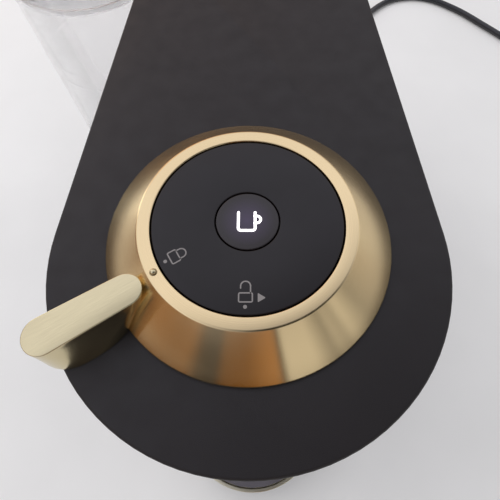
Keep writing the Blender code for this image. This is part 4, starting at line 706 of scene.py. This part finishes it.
def clear(name, colour, roughness, alpha):
    """Clear moulded plastic, with the faint ripple that a mould leaves."""
    inputs = {"Transmission Weight": 1.0, "IOR": CLEAR_IOR, "Alpha": alpha}
    material, tree, shader = shader_of(name, colour, roughness, **inputs)
    at = place_of(tree)
    bumped(tree, shader, noise(tree, at, RIPPLE_W, 2.0, (1, 1, 3)), RIPPLE_DEPTH)
    polish = ranged(tree, noise(tree, at, METAL_PATCH), roughness * 0.7, roughness * 1.5)
    tree.links.new(polish, shader.inputs["Roughness"])
    return material


def lit_button(name, colour, roughness):
    """The button's cap: satin black with a violet glow round its lit symbol."""
    material = moulded(name, colour, roughness, BUTTON_GRAIN, BUTTON_DEPTH)
    tree = material.node_tree
    shader = tree.nodes["Principled BSDF"]
    moved = node(tree, "VectorMath", {0: place_of(tree), 1: (0, 0, -BUTTON_TOP)}, operation="ADD")
    reach = node(tree, "VectorMath", {0: moved.outputs[0]}, operation="LENGTH").outputs["Value"]
    glow = ranged(tree, reach, GLOW_STRENGTH, 0.0, (0.0, GLOW_R))
    tree.links.new(glow, shader.inputs["Emission Strength"])
    shader.inputs["Emission Color"].default_value = (*GLOW_COLOUR, 1)
    return material


def glowing(name, colour, strength):
    material, tree, shader = shader_of(name, colour, 0.4)
    shader.inputs["Emission Color"].default_value = (*colour, 1)
    flicker = noise(tree, place_of(tree), FLICKER_W)
    tree.links.new(
        ranged(tree, flicker, strength * 0.95, strength * 1.05), shader.inputs["Emission Strength"]
    )
    return material


# Moulded slots: colour, roughness, grain, bump, drift of the tone, other inputs
MOULDED_SLOTS = {
    "plate_charcoal": (
        CHARCOAL, 0.56, 0.30 * MM, 0.035 * MM, 0.07, {"Specular IOR Level": PLATE_SPECULAR}
    ),
    "housing_black": (shaded(CHARCOAL, 0.85), 0.55, MOULD_GRAIN, MOULD_DEPTH, MOULD_VARY, {}),
    "dial_black": (
        DIAL_BLACK, 0.36, 0.22 * MM, 0.006 * MM, 0.05, {"Specular IOR Level": DIAL_SPECULAR}
    ),
    "grid_grey": ((0.105, 0.095, 0.112), 0.45, 0.4 * MM, 0.02 * MM, MOULD_VARY, {}),
    "cord_black": ((0.021, 0.021, 0.025), 0.24, 0.6 * MM, 0.02 * MM, MOULD_VARY, {}),
    "plug_black": ((0.013, 0.013, 0.014), 0.40, 0.5 * MM, 0.03 * MM, MOULD_VARY, {}),
    "rubber_black": ((0.018, 0.018, 0.018), 0.80, 0.5 * MM, 0.05 * MM, MOULD_VARY, {}),
    "cast_alloy": ((0.50, 0.50, 0.51), 0.48, 0.9 * MM, 0.10 * MM, 0.12, {"Metallic": 1.0}),
    "inner_grey": ((0.25, 0.25, 0.26), 0.55, 0.7 * MM, 0.05 * MM, 0.12, {}),
    "inner_white": ((0.78, 0.78, 0.75), 0.45, 0.6 * MM, 0.03 * MM, 0.04, {}),
    "hose_clear": ((0.68, 0.68, 0.66), 0.35, 1.0 * MM, 0.03 * MM, 0.06, {}),
    "circuit_green": ((0.03, 0.20, 0.09), 0.35, 1.2 * MM, 0.05 * MM, 0.3, {}),
}


def make_finishes():
    """The record's material slots, each as a procedural material."""
    finishes = {
        "button_black": lit_button("button_black", BUTTON_BLACK, 0.34),
        "satin_gold": turned_metal("satin_gold", GOLD, 0.18),
        "bright_steel": brushed_metal("bright_steel", (0.62, 0.62, 0.62), 0.26, 0),
        "clear_plastic": clear("clear_plastic", (0.86, 0.86, 0.87), 0.05, CLEAR_ALPHA),
        "lid_plastic": clear("lid_plastic", (0.60, 0.60, 0.61), 0.16, LID_ALPHA),
    }
    for name, (colour, roughness, grain, depth, vary, inputs) in MOULDED_SLOTS.items():
        finishes[name] = moulded(name, colour, roughness, grain, depth, vary, **inputs)
    return finishes


def dress_frame():
    """Gives every CAD node its slot's finish, and smooth shading over its facets."""
    slots = {part["node"]: part["material_slot"] for part in frame["record"]["subparts"]}
    for name, piece in frame["nodes"].items():
        piece.data.materials.clear()
        piece.data.materials.append(FINISHES[slots[name]])
        piece.data.shade_smooth()
        weld = piece.modifiers.new("Weld", "WELD")
        weld.merge_threshold = WELD_REACH
        if name in SOFT_EDGED:
            soft = piece.modifiers.new("Moulded edges", "BEVEL")
            soft.width = HOUSING_EDGE
            soft.segments = 2
            soft.limit_method = "ANGLE"
            soft.angle_limit = math.radians(CREASE_DEG)
            soft.harden_normals = True
        split = piece.modifiers.new("Creases", "EDGE_SPLIT")
        split.split_angle = math.radians(SPLIT_DEG if name in SOFT_EDGED else CREASE_DEG)


def make_plate():
    """The top plate with its round hole and the hinge barrel at its rear edge."""
    rear_y = HINGE_Y - PLATE_GAP
    loop = clipped(plan(), rear_y)
    bm = bmesh.new()
    face = bm.faces.new([bm.verts.new((x, y, PLATE_LOW)) for x, y in loop])
    raised = bmesh.ops.extrude_face_region(bm, geom=[face])["geom"]
    verts = [item for item in raised if isinstance(item, bmesh.types.BMVert)]
    bmesh.ops.translate(bm, verts=verts, vec=(0, 0, PLATE_TOP - PLATE_LOW))
    plate = mesh_piece("plate", bm)
    bevel = plate.modifiers.new("Edge", "BEVEL")
    bevel.width = PLATE_EDGE
    bevel.segments = 4
    bevel.limit_method = "ANGLE"
    bevel.angle_limit = math.radians(PLATE_EDGE_DEG)
    hole_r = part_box("lever_bush")[1].x + BUSH_TRIM
    room = BARREL_R + 2 * FIT
    below = (0, 0, PLATE_LOW - OVERCUT)
    above = (0, 0, PLATE_TOP + OVERCUT)
    tools = [rod("hole", hole_r, below, above, ROUND_STEPS)]
    for side in (-1, 1):
        middle = side * (BARREL_HALF + PLAN_FRONT[1]) / 2
        tools.append(
            slab(
                f"notch_{side}",
                (middle, HINGE_Y, (PLATE_LOW + PLATE_TOP) / 2),
                (PLAN_FRONT[1] - BARREL_HALF, room * 2, (PLATE_TOP - PLATE_LOW) * 2),
            )
        )
    carved(plate, tools)
    barrel = rod(
        "barrel",
        BARREL_R,
        (-BARREL_HALF, HINGE_Y, HINGE_Z),
        (BARREL_HALF, HINGE_Y, HINGE_Z),
    )
    carved(plate, [barrel], "UNION")
    linked(plate, "head", "plate_charcoal", "top_plate")


def slab(name, centre, size):
    bm = bmesh.new()
    bmesh.ops.create_cube(bm, size=1)
    bmesh.ops.scale(bm, vec=size, verts=bm.verts)
    bmesh.ops.translate(bm, vec=centre, verts=bm.verts)
    return mesh_piece(name, bm)


def make_ring():
    """The conical lock ring: a flank of turned gold and a flat land round the dial."""
    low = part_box("lock_lever")[0].z
    base = PLATE_TOP + FIT
    profile = [
        *eased(
            [
                (RING_BORE_R, RING_TOP - RING_CROWN),
                (RING_BORE_R, RING_TOP),
                (RING_TOP_R, RING_TOP),
                (RING_BASE_R, base + 2 * RING_EDGE),
                (RING_BASE_R, base),
                (NECK_R, base),
            ],
            RING_EDGE,
            closed=False,
        ),
        Vector((NECK_R, low)),
        Vector((NECK_R - NECK_WALL, low)),
        Vector((NECK_R - NECK_WALL, base + RING_CROWN)),
    ]
    ring = lathe("lock_ring", profile, steps=2 * ROUND_STEPS, crease_deg=RING_CREASE_DEG)
    linked(ring, "lever", "satin_gold", "lock_lever")


def lever_outline(flare, inset=0.0):
    """The lever along +X: a bar with round ends on top, a leaf with a rounded toe at its foot."""
    loop = []
    for start, half, top_end, side, reach in (
        (-90, LEVER_OUTER_HALF_W, LEVER_OUTER_R - LEVER_OUTER_HALF_W, 1, LEVER_FOOT_OUT),
        (90, LEVER_HALF_W, LEVER_INNER_R + LEVER_HALF_W, -1, LEVER_FOOT_IN),
    ):
        for step in range(LEVER_END_STEPS + 1):
            angle = math.radians(start + 180 * step / LEVER_END_STEPS)
            across, along = math.sin(angle), math.cos(angle)
            top = Vector((top_end + (half - inset) * along, (half - inset) * across))
            foot = Vector(
                (LEVER_FOOT_R + side * LEVER_FOOT_FLAT + reach * along, LEVER_FOOT_HALF_W * across)
            )
            loop.append(top.lerp(foot, flare))
    return loop


def make_lever():
    """The lever: a long narrow bar on top that flares all round towards its foot."""
    base = PLATE_TOP + FIT
    top = RING_TOP - LEVER_DROP
    sections = []
    for index in range(LEVER_LEVELS + 1):
        share = index / LEVER_LEVELS
        flare = (1 - share) ** LEVER_FLARE_POWER
        sections.append((lever_outline(flare), base + (top - LEVER_EDGE - base) * share))
    for step in range(1, LEVER_EDGE_STEPS + 1):
        angle = math.pi / 2 * step / LEVER_EDGE_STEPS
        loop = lever_outline(0.0, LEVER_EDGE * (1 - math.cos(angle)))
        sections.append((loop, top - LEVER_EDGE * (1 - math.sin(angle))))
    lever = loft("lever_grip", sections)
    lever.data.transform(Matrix.Rotation(math.radians(LEVER_DEG), 4, "Z"))
    linked(lever, "lever", "satin_gold", "lock_lever")
    lever.data.materials.clear()
    lever.data.materials.append(LEVER_GOLD)


def make_stud():
    """The small domed stud on the ring's land, with a thin dark ring of painted shade round it where
    its recess would be.
    """
    low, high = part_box("pointer_stud")
    middle = (low + high) / 2
    radius = (high.x - low.x) / 2 * STUD_SHARE
    dome = [(0.0, low.z), (radius, low.z)]
    for step in range(STUD_STEPS + 1):
        angle = math.pi / 2 * step / STUD_STEPS
        height = low.z + (high.z - low.z) * (0.3 + 0.7 * math.sin(angle))
        dome.append((radius * math.cos(angle), height))
    stud = lathe("ring_stud", dome, middle.xy, SMALL_ROUND_STEPS, closed=False)
    linked(stud, "lever", "satin_gold", "pointer_stud")
    stud.data.materials.clear()
    stud.data.materials.append(LEVER_GOLD)
    # A thin flat ring of half-bright gold round the stud: painted shade of the recess it sits in, not
    # cut geometry
    recess_shade_r = radius + FIT
    recess_shade = lathe(
        "stud_recess_shade",
        [
            (radius, RING_TOP + GRAPHIC_LIFT),
            (recess_shade_r, RING_TOP + GRAPHIC_LIFT),
            (recess_shade_r, RING_TOP + 2 * GRAPHIC_LIFT),
            (radius, RING_TOP + 2 * GRAPHIC_LIFT),
        ],
        middle.xy,
        SMALL_ROUND_STEPS,
    )
    linked(recess_shade, "lever", "satin_gold")
    recess_shade.data.materials.clear()
    recess_shade.data.materials.append(STUD_SHADE_GOLD)


def make_dial():
    """The black disc, and the button that lies flush in it."""
    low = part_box("coffee_button")[0].z
    disc_low = DISC_TOP - DISC_THICK
    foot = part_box("control_disc")[0].z
    hole = BUTTON_R + BUTTON_GAP
    disc = [
        *eased(
            [
                (PILLAR_BORE_R, disc_low),
                (hole, disc_low),
                (hole, DISC_TOP),
                (DISC_R, DISC_TOP),
                (DISC_R, disc_low),
                (PILLAR_R, disc_low),
            ],
            DISC_EDGE,
            closed=False,
        ),
        Vector((PILLAR_R, foot)),
        Vector((PILLAR_BORE_R, foot)),
    ]
    linked(lathe("dial_disc", disc), "head", "dial_black", "control_disc")
    flange_top = disc_low - FIT
    button = [
        (0.0, BUTTON_TOP),
        (BUTTON_R, BUTTON_TOP),
        (BUTTON_R, flange_top),
        (BUTTON_FLANGE_R, flange_top),
        (BUTTON_FLANGE_R, flange_top - BUTTON_FLANGE_H),
        (BUTTON_STEM_R, flange_top - BUTTON_FLANGE_H),
        (BUTTON_STEM_R, low),
        (0.0, low),
    ]
    cap = lathe("dial_button", eased(button, DISC_EDGE, closed=False), closed=False)
    linked(cap, "button", "button_black", "coffee_button")


def make_spring():
    """The coil that lifts the button."""
    low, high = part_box("button_spring")
    reach = high.x - SPRING_WIRE_R
    rise = high.z - low.z - 2 * SPRING_WIRE_R
    bm = bmesh.new()
    rings = []
    for index in range(SPRING_TURNS * SPRING_STEPS + 1):
        angle = 2 * math.pi * index / SPRING_STEPS
        height = low.z + SPRING_WIRE_R + rise * index / (SPRING_TURNS * SPRING_STEPS)
        ring = []
        for side in range(SPRING_SIDES):
            around = 2 * math.pi * side / SPRING_SIDES
            radius = reach + SPRING_WIRE_R * math.cos(around)
            x, y = radius * math.cos(angle), radius * math.sin(angle)
            ring.append(bm.verts.new((x, y, height + SPRING_WIRE_R * math.sin(around))))
        rings.append(ring)
    for lower, upper in zip(rings, rings[1:]):
        for side in range(SPRING_SIDES):
            turn = (side + 1) % SPRING_SIDES
            bm.faces.new((lower[side], lower[turn], upper[turn], upper[side]))
    bm.faces.new(rings[0][::-1])
    bm.faces.new(rings[-1])
    spring = mesh_piece("button_coil", bm)
    linked(spring, "head", "bright_steel", "button_spring")
    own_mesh(spring)


def ribbon(name, path, width, height, closed=False):
    """A flat printed line of even width along a path on the dial, round at its ends."""
    points = [Vector((x, y)) for x, y in path]
    count = len(points)
    left, right = [], []
    for index, point in enumerate(points):
        before = points[index - 1] if closed or index else point
        after = points[(index + 1) % count] if closed or index < count - 1 else point
        first = (point - before).normalized() if point != before else None
        second = (after - point).normalized() if after != point else None
        first, second = first or second, second or first
        along = (first + second).normalized()
        side = Vector((-along.y, along.x))
        reach = width / 2 / max(0.5, along.dot(first))
        left.append(point + side * reach)
        right.append(point - side * reach)
    bm = bmesh.new()
    rows = [[bm.verts.new((*p, height)) for p in side] for side in (left, right)]
    spans = count if closed else count - 1
    for index in range(spans):
        turn = (index + 1) % count
        bm.faces.new((rows[0][index], rows[0][turn], rows[1][turn], rows[1][index]))
    if not closed:
        for end, inward in ((0, 1), (count - 1, count - 2)):
            out = (points[end] - points[inward]).normalized()
            side = Vector((-out.y, out.x)) * width / 2
            fan = []
            for step in range(LINE_END_STEPS + 1):
                angle = math.pi * step / LINE_END_STEPS
                fan.append(points[end] + side * math.cos(angle) + out * math.sin(angle) * width / 2)
            bm.faces.new([bm.verts.new((*p, height)) for p in fan])
    raised(bm, GRAPHIC_LIFT)
    return mesh_piece(name, bm)


def arc(centre, radius, start_deg, end_deg, steps=12):
    return [
        (
            centre[0] + radius * math.cos(math.radians(start_deg + (end_deg - start_deg) * i / steps)),
            centre[1] + radius * math.sin(math.radians(start_deg + (end_deg - start_deg) * i / steps)),
        )
        for i in range(steps + 1)
    ]


def rounded_box(half_w, half_h, corner):
    loop = []
    for sx, sy, start in ((1, 1, 0), (-1, 1, 90), (-1, -1, 180), (1, -1, 270)):
        centre = (sx * (half_w - corner), sy * (half_h - corner))
        loop += arc(centre, corner, start, start + 90, 5)
    return loop


def raised(bm, height):
    """Gives flat faces a thickness, upwards."""
    made = bmesh.ops.extrude_face_region(bm, geom=bm.faces[:])["geom"]
    verts = [item for item in made if isinstance(item, bmesh.types.BMVert)]
    bmesh.ops.translate(bm, verts=verts, vec=(0, 0, height))


def set_on_dial(piece, at, turn_deg):
    piece.data.transform(
        Matrix.Translation((*at, 0)) @ Matrix.Rotation(math.radians(turn_deg), 4, "Z")
    )
    return piece


def make_symbols():
    """The lit cup on the button, and the closed and open padlocks printed on the disc."""
    on_button = BUTTON_TOP + GRAPHIC_LIFT
    corner = CUP_LINE
    half, high = CUP_HALF_W, CUP_HALF_H
    cup = [
        (-half, high),
        *arc((corner - half, corner - high), corner, 180, 270, 6),
        *arc((half - corner, corner - high), corner, 270, 360, 6),
        (half, high),
    ]
    handle = [
        (half, CUP_HANDLE_Y + CUP_HANDLE_R),
        *arc((half + CUP_HANDLE_OUT, CUP_HANDLE_Y), CUP_HANDLE_R, 90, -90, 12),
        (half, CUP_HANDLE_Y - CUP_HANDLE_R),
    ]
    for name, path, width in (
        ("cup_symbol", cup, CUP_LINE),
        ("cup_handle_symbol", handle, CUP_HANDLE_LINE),
    ):
        piece = ribbon(name, path, width, on_button)
        piece.data.transform(Matrix.Translation((CUP_AT[0], CUP_AT[1], 0)))
        linked(piece, "button", "button_black")
        piece.data.materials.clear()
        piece.data.materials.append(LIT_WHITE)

    on_disc = DISC_TOP + GRAPHIC_LIFT
    body = rounded_box(LOCK_HALF_W, LOCK_HALF_H, LOCK_LINE)
    straight = LOCK_HALF_H + LOCK_SHACKLE_H
    closed_bow = [
        (LOCK_BOW_R, LOCK_HALF_H),
        *arc((0, LOCK_HALF_H + LOCK_BOW_RISE), LOCK_BOW_R, 0, 180),
        (-LOCK_BOW_R, LOCK_HALF_H),
    ]
    open_bow = [
        (LOCK_BOW_R, LOCK_HALF_H),
        *arc((0, straight), LOCK_BOW_R, 0, 180),
        (-LOCK_BOW_R, straight - LOCK_LINE * 1.6),
    ]
    printed = [
        (ribbon("closed_lock_body", body, LOCK_LINE, on_disc, True), CLOSED_LOCK_AT, CLOSED_LOCK_DEG),
        (ribbon("closed_lock_bow", closed_bow, LOCK_LINE, on_disc), CLOSED_LOCK_AT, CLOSED_LOCK_DEG),
        (ribbon("open_lock_body", body, LOCK_LINE, on_disc, True), OPEN_LOCK_AT, 0),
        (ribbon("open_lock_bow", open_bow, LOCK_LINE, on_disc), OPEN_LOCK_AT, 0),
        (lathe_dot("closed_lock_dot", on_disc), CLOSED_DOT_AT, 0),
        (lathe_dot("open_lock_dot", on_disc), OPEN_DOT_AT, 0),
        (pointer("turn_arrow", on_disc), ARROW_AT, 0),
    ]
    for piece, at, turn_deg in printed:
        set_on_dial(piece, at, turn_deg)
        linked(piece, "head", "dial_black")
        piece.data.materials.clear()
        piece.data.materials.append(PRINT_GREY)


def lathe_dot(name, height):
    low = height - GRAPHIC_LIFT
    profile = [(0.0, height), (DOT_R, height), (DOT_R, low), (0.0, low)]
    return lathe(name, profile, steps=SMALL_ROUND_STEPS // 2, closed=False)


def pointer(name, height):
    """A filled triangle that points along +X, its corners a little rounded."""
    corners = [(0, ARROW_HALF_H), (0, -ARROW_HALF_H), (ARROW_LEN, 0)]
    bm = bmesh.new()
    loop = eased(corners, ARROW_HALF_H / 4)
    bm.faces.new([bm.verts.new((*p, height)) for p in loop])
    raised(bm, GRAPHIC_LIFT)
    return mesh_piece(name, bm)


def make_tank():
    """The clear water tank, with the two moulded lines round it, and its lid."""
    centre = (TANK_X, TANK_Y)
    low, high = (corner.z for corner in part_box("water_tank"))
    rim_r = (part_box("water_tank")[1].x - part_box("water_tank")[0].x) / 2
    outer = rim_r - TANK_STEP_W
    inner = outer - TANK_WALL
    step_z = high - TANK_STEP_H
    foot = outer - TANK_TAPER
    floor = low + TANK_FLOOR

    def wall(z):
        return foot + (outer - foot) * (z - floor) / (step_z - floor)

    profile = [
        (TANK_PORT_R, low),
        (foot - TANK_FLOOR, low),
        (foot, floor),
    ]
    for bead_z in TANK_BEADS_Z:
        profile += [
            (wall(bead_z - TANK_BEAD_H), bead_z - TANK_BEAD_H),
            (wall(bead_z) + TANK_BEAD_OUT, bead_z - TANK_BEAD_H / 3),
            (wall(bead_z) + TANK_BEAD_OUT, bead_z + TANK_BEAD_H / 3),
            (wall(bead_z + TANK_BEAD_H), bead_z + TANK_BEAD_H),
        ]
    profile += [
        (outer, step_z),
        (rim_r, step_z + TANK_STEP_W),
        (rim_r, high),
        (inner, high),
        (inner - TANK_TAPER, floor + TANK_FLOOR),
        (inner - TANK_TAPER - TANK_FLOOR, floor),
        (TANK_PORT_R, floor),
    ]
    tank = lathe("clear_tank", eased(profile, TANK_EASE, 3), centre)
    linked(tank, "tank", "clear_plastic", "water_tank")

    lid_low, lid_high = (corner.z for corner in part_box("tank_lid"))
    lid_r = (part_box("tank_lid")[1].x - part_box("tank_lid")[0].x) / 2
    rim = high + FIT
    plug_r = inner - 2 * FIT
    shoulder = lid_high - LID_CROWN_H
    lid = [
        (0.0, lid_high),
        (lid_r * 0.7, lid_high - LID_CROWN_H * 0.3),
        (lid_r - LID_CROWN_H, shoulder),
        (lid_r, shoulder - LID_CROWN_H),
        (lid_r, rim),
        (plug_r, rim),
        (plug_r, lid_low),
        (plug_r - LID_PLUG_W, lid_low),
        (plug_r - LID_PLUG_W, shoulder - LID_WALL),
        (0.0, lid_high - LID_WALL),
    ]
    cap = lathe("clear_lid", eased(lid, TANK_EASE, 3, closed=False), centre, closed=False)
    linked(cap, "lid", "lid_plastic", "tank_lid")


def make_cup_ring():
    """The gold ring round the cup stand, its upper edges softly rounded."""
    low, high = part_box("cup_ring")
    outer = (high.x - low.x) / 2
    inner = outer - CUP_RING_W
    ledge = low.z + CUP_LEDGE_H
    profile = eased(
        [
            (inner - CUP_LEDGE_W, low.z),
            (outer, low.z),
            (outer, high.z),
            (inner, high.z),
            (inner, ledge),
            (inner - CUP_LEDGE_W, ledge),
        ],
        CUP_RING_EDGE,
    )
    ring = lathe("cup_stand_ring", profile, (0, TRAY_Y))
    linked(ring, "grid", "satin_gold", "cup_ring")
    ring.data.materials.clear()
    # Its gold is paler than the lock ring's: a painted highlight is mixed into the colour
    ring.data.materials.append(CUP_RING_HIGHLIT_FINISH)


def make_relief(points):
    """The strain relief: a flange, then a taper with ribs that lets the lead bend."""
    low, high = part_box("strain_relief")
    body = high.x - low.x - RELIEF_FLANGE_H
    profile = [(0.0, 0.0), (RELIEF_FLANGE_R, 0.0), (RELIEF_FLANGE_R, RELIEF_FLANGE_H)]
    for index in range(RELIEF_RIBS):
        for step, sunk in ((0.1, 0.0), (0.6, 0.0), (0.7, RIB_DEPTH), (1.0, RIB_DEPTH)):
            share = (index + step) / RELIEF_RIBS
            radius = RELIEF_R + (CORD_R + 2 * FIT - RELIEF_R) * share
            profile.append((max(CORD_R + FIT, radius - sunk), RELIEF_FLANGE_H + body * share))
    profile.append((0.0, RELIEF_FLANGE_H + body))
    relief = lathe("lead_strain_relief", profile, steps=SMALL_ROUND_STEPS, closed=False)
    relief.data.transform(
        Matrix.Translation((low.x, points[0].y, points[0].z)) @ Matrix.Rotation(math.pi / 2, 4, "Y")
    )
    linked(relief, "base", "rubber_black", "strain_relief")
    return relief


def make_plug(points):
    """The moulded plug and its two round pins."""
    along = (points[-1] - points[-2]).normalized()
    profile = [(0.0, 0.0)]
    body = [(PLUG_R * radius, PLUG_LEN * share) for share, radius in PLUG_SHARES]
    smooth = eased(body, PLUG_EASE, 4, False)
    profile += [tuple(point) for point in smooth]
    profile.append((0.0, PLUG_LEN))
    plug = lathe("lead_plug", profile, steps=SMALL_ROUND_STEPS, closed=False)
    turn = along.to_track_quat("Z", "Y").to_matrix().to_4x4()
    plug.data.transform(Matrix.Translation(points[-1] + along * FIT) @ turn)
    linked(plug, "base", "plug_black", "mains_plug")
    aside = along.cross(Vector((0, 0, 1))).normalized()
    pin_end = PIN_LEN + PIN_R
    shoulder = PIN_LEN - PIN_R / 2
    pin_profile = [(0.0, 0.0), (PIN_R, 0.0), (PIN_R, shoulder), (PIN_R / 2, pin_end), (0.0, pin_end)]
    pieces = [plug]
    for side, name in ((-1, "plug_pin_left"), (1, "plug_pin_right")):
        root = points[-1] + along * (PLUG_LEN - PIN_R) + aside * PIN_HALF * side
        tip = root + along * (PIN_LEN + PIN_R)
        pin = lathe(
            name,
            pin_profile,
            steps=SMALL_ROUND_STEPS // 2,
            closed=False,
        )
        turn = (tip - root).to_track_quat("Z", "Y").to_matrix().to_4x4()
        pin.data.transform(Matrix.Translation(root) @ turn)
        linked(pin, "base", "bright_steel")
        pieces.append(pin)
    return pieces


def make_stage():
    """A pale table, and a world with an even fill whose soft panels show only in reflections."""
    bm = bmesh.new()
    bmesh.ops.create_grid(bm, x_segments=1, y_segments=1, size=FLOOR_HALF)
    floor = mesh_piece("table", bm)
    floor.location.z = -FIT / 3
    material, tree, shader = shader_of("table_white", TABLE_WHITE, 0.45)
    at = place_of(tree)
    tone = tinted(
        tree,
        ranged(tree, noise(tree, at, TABLE_PATCH), 0.0, 1.0),
        shaded(TABLE_WHITE, 0.97),
        shaded(TABLE_WHITE, 1.02),
    )
    tree.links.new(tone, shader.inputs["Base Color"])
    floor.data.materials.append(material)

    world = bpy.data.worlds.new("studio")
    world.use_nodes = True
    bpy.context.scene.world = world
    tree = world.node_tree
    background = tree.nodes["Background"]
    toward = tree.nodes.new("ShaderNodeTexCoord").outputs["Generated"]
    parts = node(tree, "SeparateXYZ", {"Vector": toward})
    ahead = node(tree, "Math", {0: parts.outputs["Y"], 1: -1.0}, operation="MULTIPLY")
    angle = node(tree, "Math", {0: parts.outputs["X"], 1: ahead.outputs[0]}, operation="ARCTAN2")
    share = ranged(tree, angle.outputs[0], 0.0, 1.0, (-math.pi, math.pi))
    panels = tree.nodes.new("ShaderNodeValToRGB")
    tree.links.new(share, panels.inputs["Fac"])
    stops = panels.color_ramp.elements
    for turn_deg, level, warmth in PANELS:
        place = turn_deg / 360 + 0.5
        stop = stops[0] if place == 0 else stops[-1] if place == 1 else stops.new(place)
        stop.color = (level, level * (1 - WARM_SHARE * warmth), level * (1 - warmth), 1)
    spot = node(tree, "VectorMath", {0: toward, 1: DARK_TOWARD}, operation="DISTANCE")
    overhead = ranged(tree, spot.outputs["Value"], DARK_OVERHEAD, LIGHT_OVERHEAD, OVERHEAD_SPAN)
    height = ranged(tree, parts.outputs["Z"], 0.0, 1.0, PANEL_SPAN)
    lit = node(tree, "Mix", {0: height}, data_type="RGBA")
    tree.links.new(panels.outputs["Color"], lit.inputs["A"])
    sky = node(tree, "VectorMath", {0: overhead, 1: OVERHEAD_TINT}, operation="MULTIPLY")
    tree.links.new(sky.outputs[0], lit.inputs["B"])
    # The part is lit by an even fill; the camera, glass and metal see the studio instead
    path = node(tree, "LightPath", {})
    seen = node(
        tree,
        "Math",
        {0: path.outputs["Is Camera Ray"], 1: path.outputs["Is Transmission Ray"]},
        operation="MAXIMUM",
    )
    plain = node(tree, "Mix", {0: seen.outputs[0]}, data_type="RGBA")
    plain.inputs["A"].default_value = (*WORLD_FILL, 1)
    plain.inputs["B"].default_value = (*WORLD_SEEN, 1)
    shown = node(tree, "Mix", {0: path.outputs["Is Glossy Ray"]}, data_type="RGBA")
    tree.links.new(plain.outputs["Result"], shown.inputs["A"])
    tree.links.new(lit.outputs["Result"], shown.inputs["B"])
    tree.links.new(shown.outputs["Result"], background.inputs["Color"])
    background.inputs["Strength"].default_value = 1.0


def make_lamps():
    for name, at, aim, size, power, colour in LAMPS:
        data = bpy.data.lights.new(name, "AREA")
        data.shape = "RECTANGLE"
        data.size, data.size_y = size
        data.energy = power
        data.color = colour
        lamp = bpy.data.objects.new(name, data)
        lamp.location = at
        lamp.rotation_mode = "QUATERNION"
        lamp.rotation_quaternion = (Vector(aim) - Vector(at)).to_track_quat("-Z", "Y")
        lamp.visible_glossy = False
        bpy.context.scene.collection.objects.link(lamp)


FINISHES = make_finishes()
LEVER_GOLD = brushed_metal("lever_gold", PALE_GOLD, 0.22, LEVER_DEG)
# Gold at half brightness: painted shade round the stud
STUD_SHADE_GOLD = moulded("stud_shade_gold", shaded(GOLD, 0.5), 0.5, Metallic=1.0)
# Turned gold for the cup ring, its colour paled by a painted highlight
CUP_RING_HIGHLIT_FINISH = turned_metal("cup_ring_gold_and_highlight", CUP_GOLD_AND_HIGHLIGHT, 0.30, (0, TRAY_Y))
LIT_WHITE = glowing("lit_white", (1.0, 0.95, 1.0), 1.5)
PRINT_GREY = moulded("print_grey", (0.24, 0.22, 0.22), 0.5, PRINT_GRAIN, PRINT_DEPTH, 0.08)
bpy.context.scene.view_settings.view_transform = "Standard"
make_camera()
cord_path = cord_points()
relief_piece = make_relief(cord_path)
plug_pieces = make_plug(cord_path)
make_cord(cord_path)
dress_frame()
make_plate()
make_ring()
make_lever()
make_stud()
make_dial()
make_spring()
make_symbols()
make_tank()
make_cup_ring()
make_stage()
make_lamps()
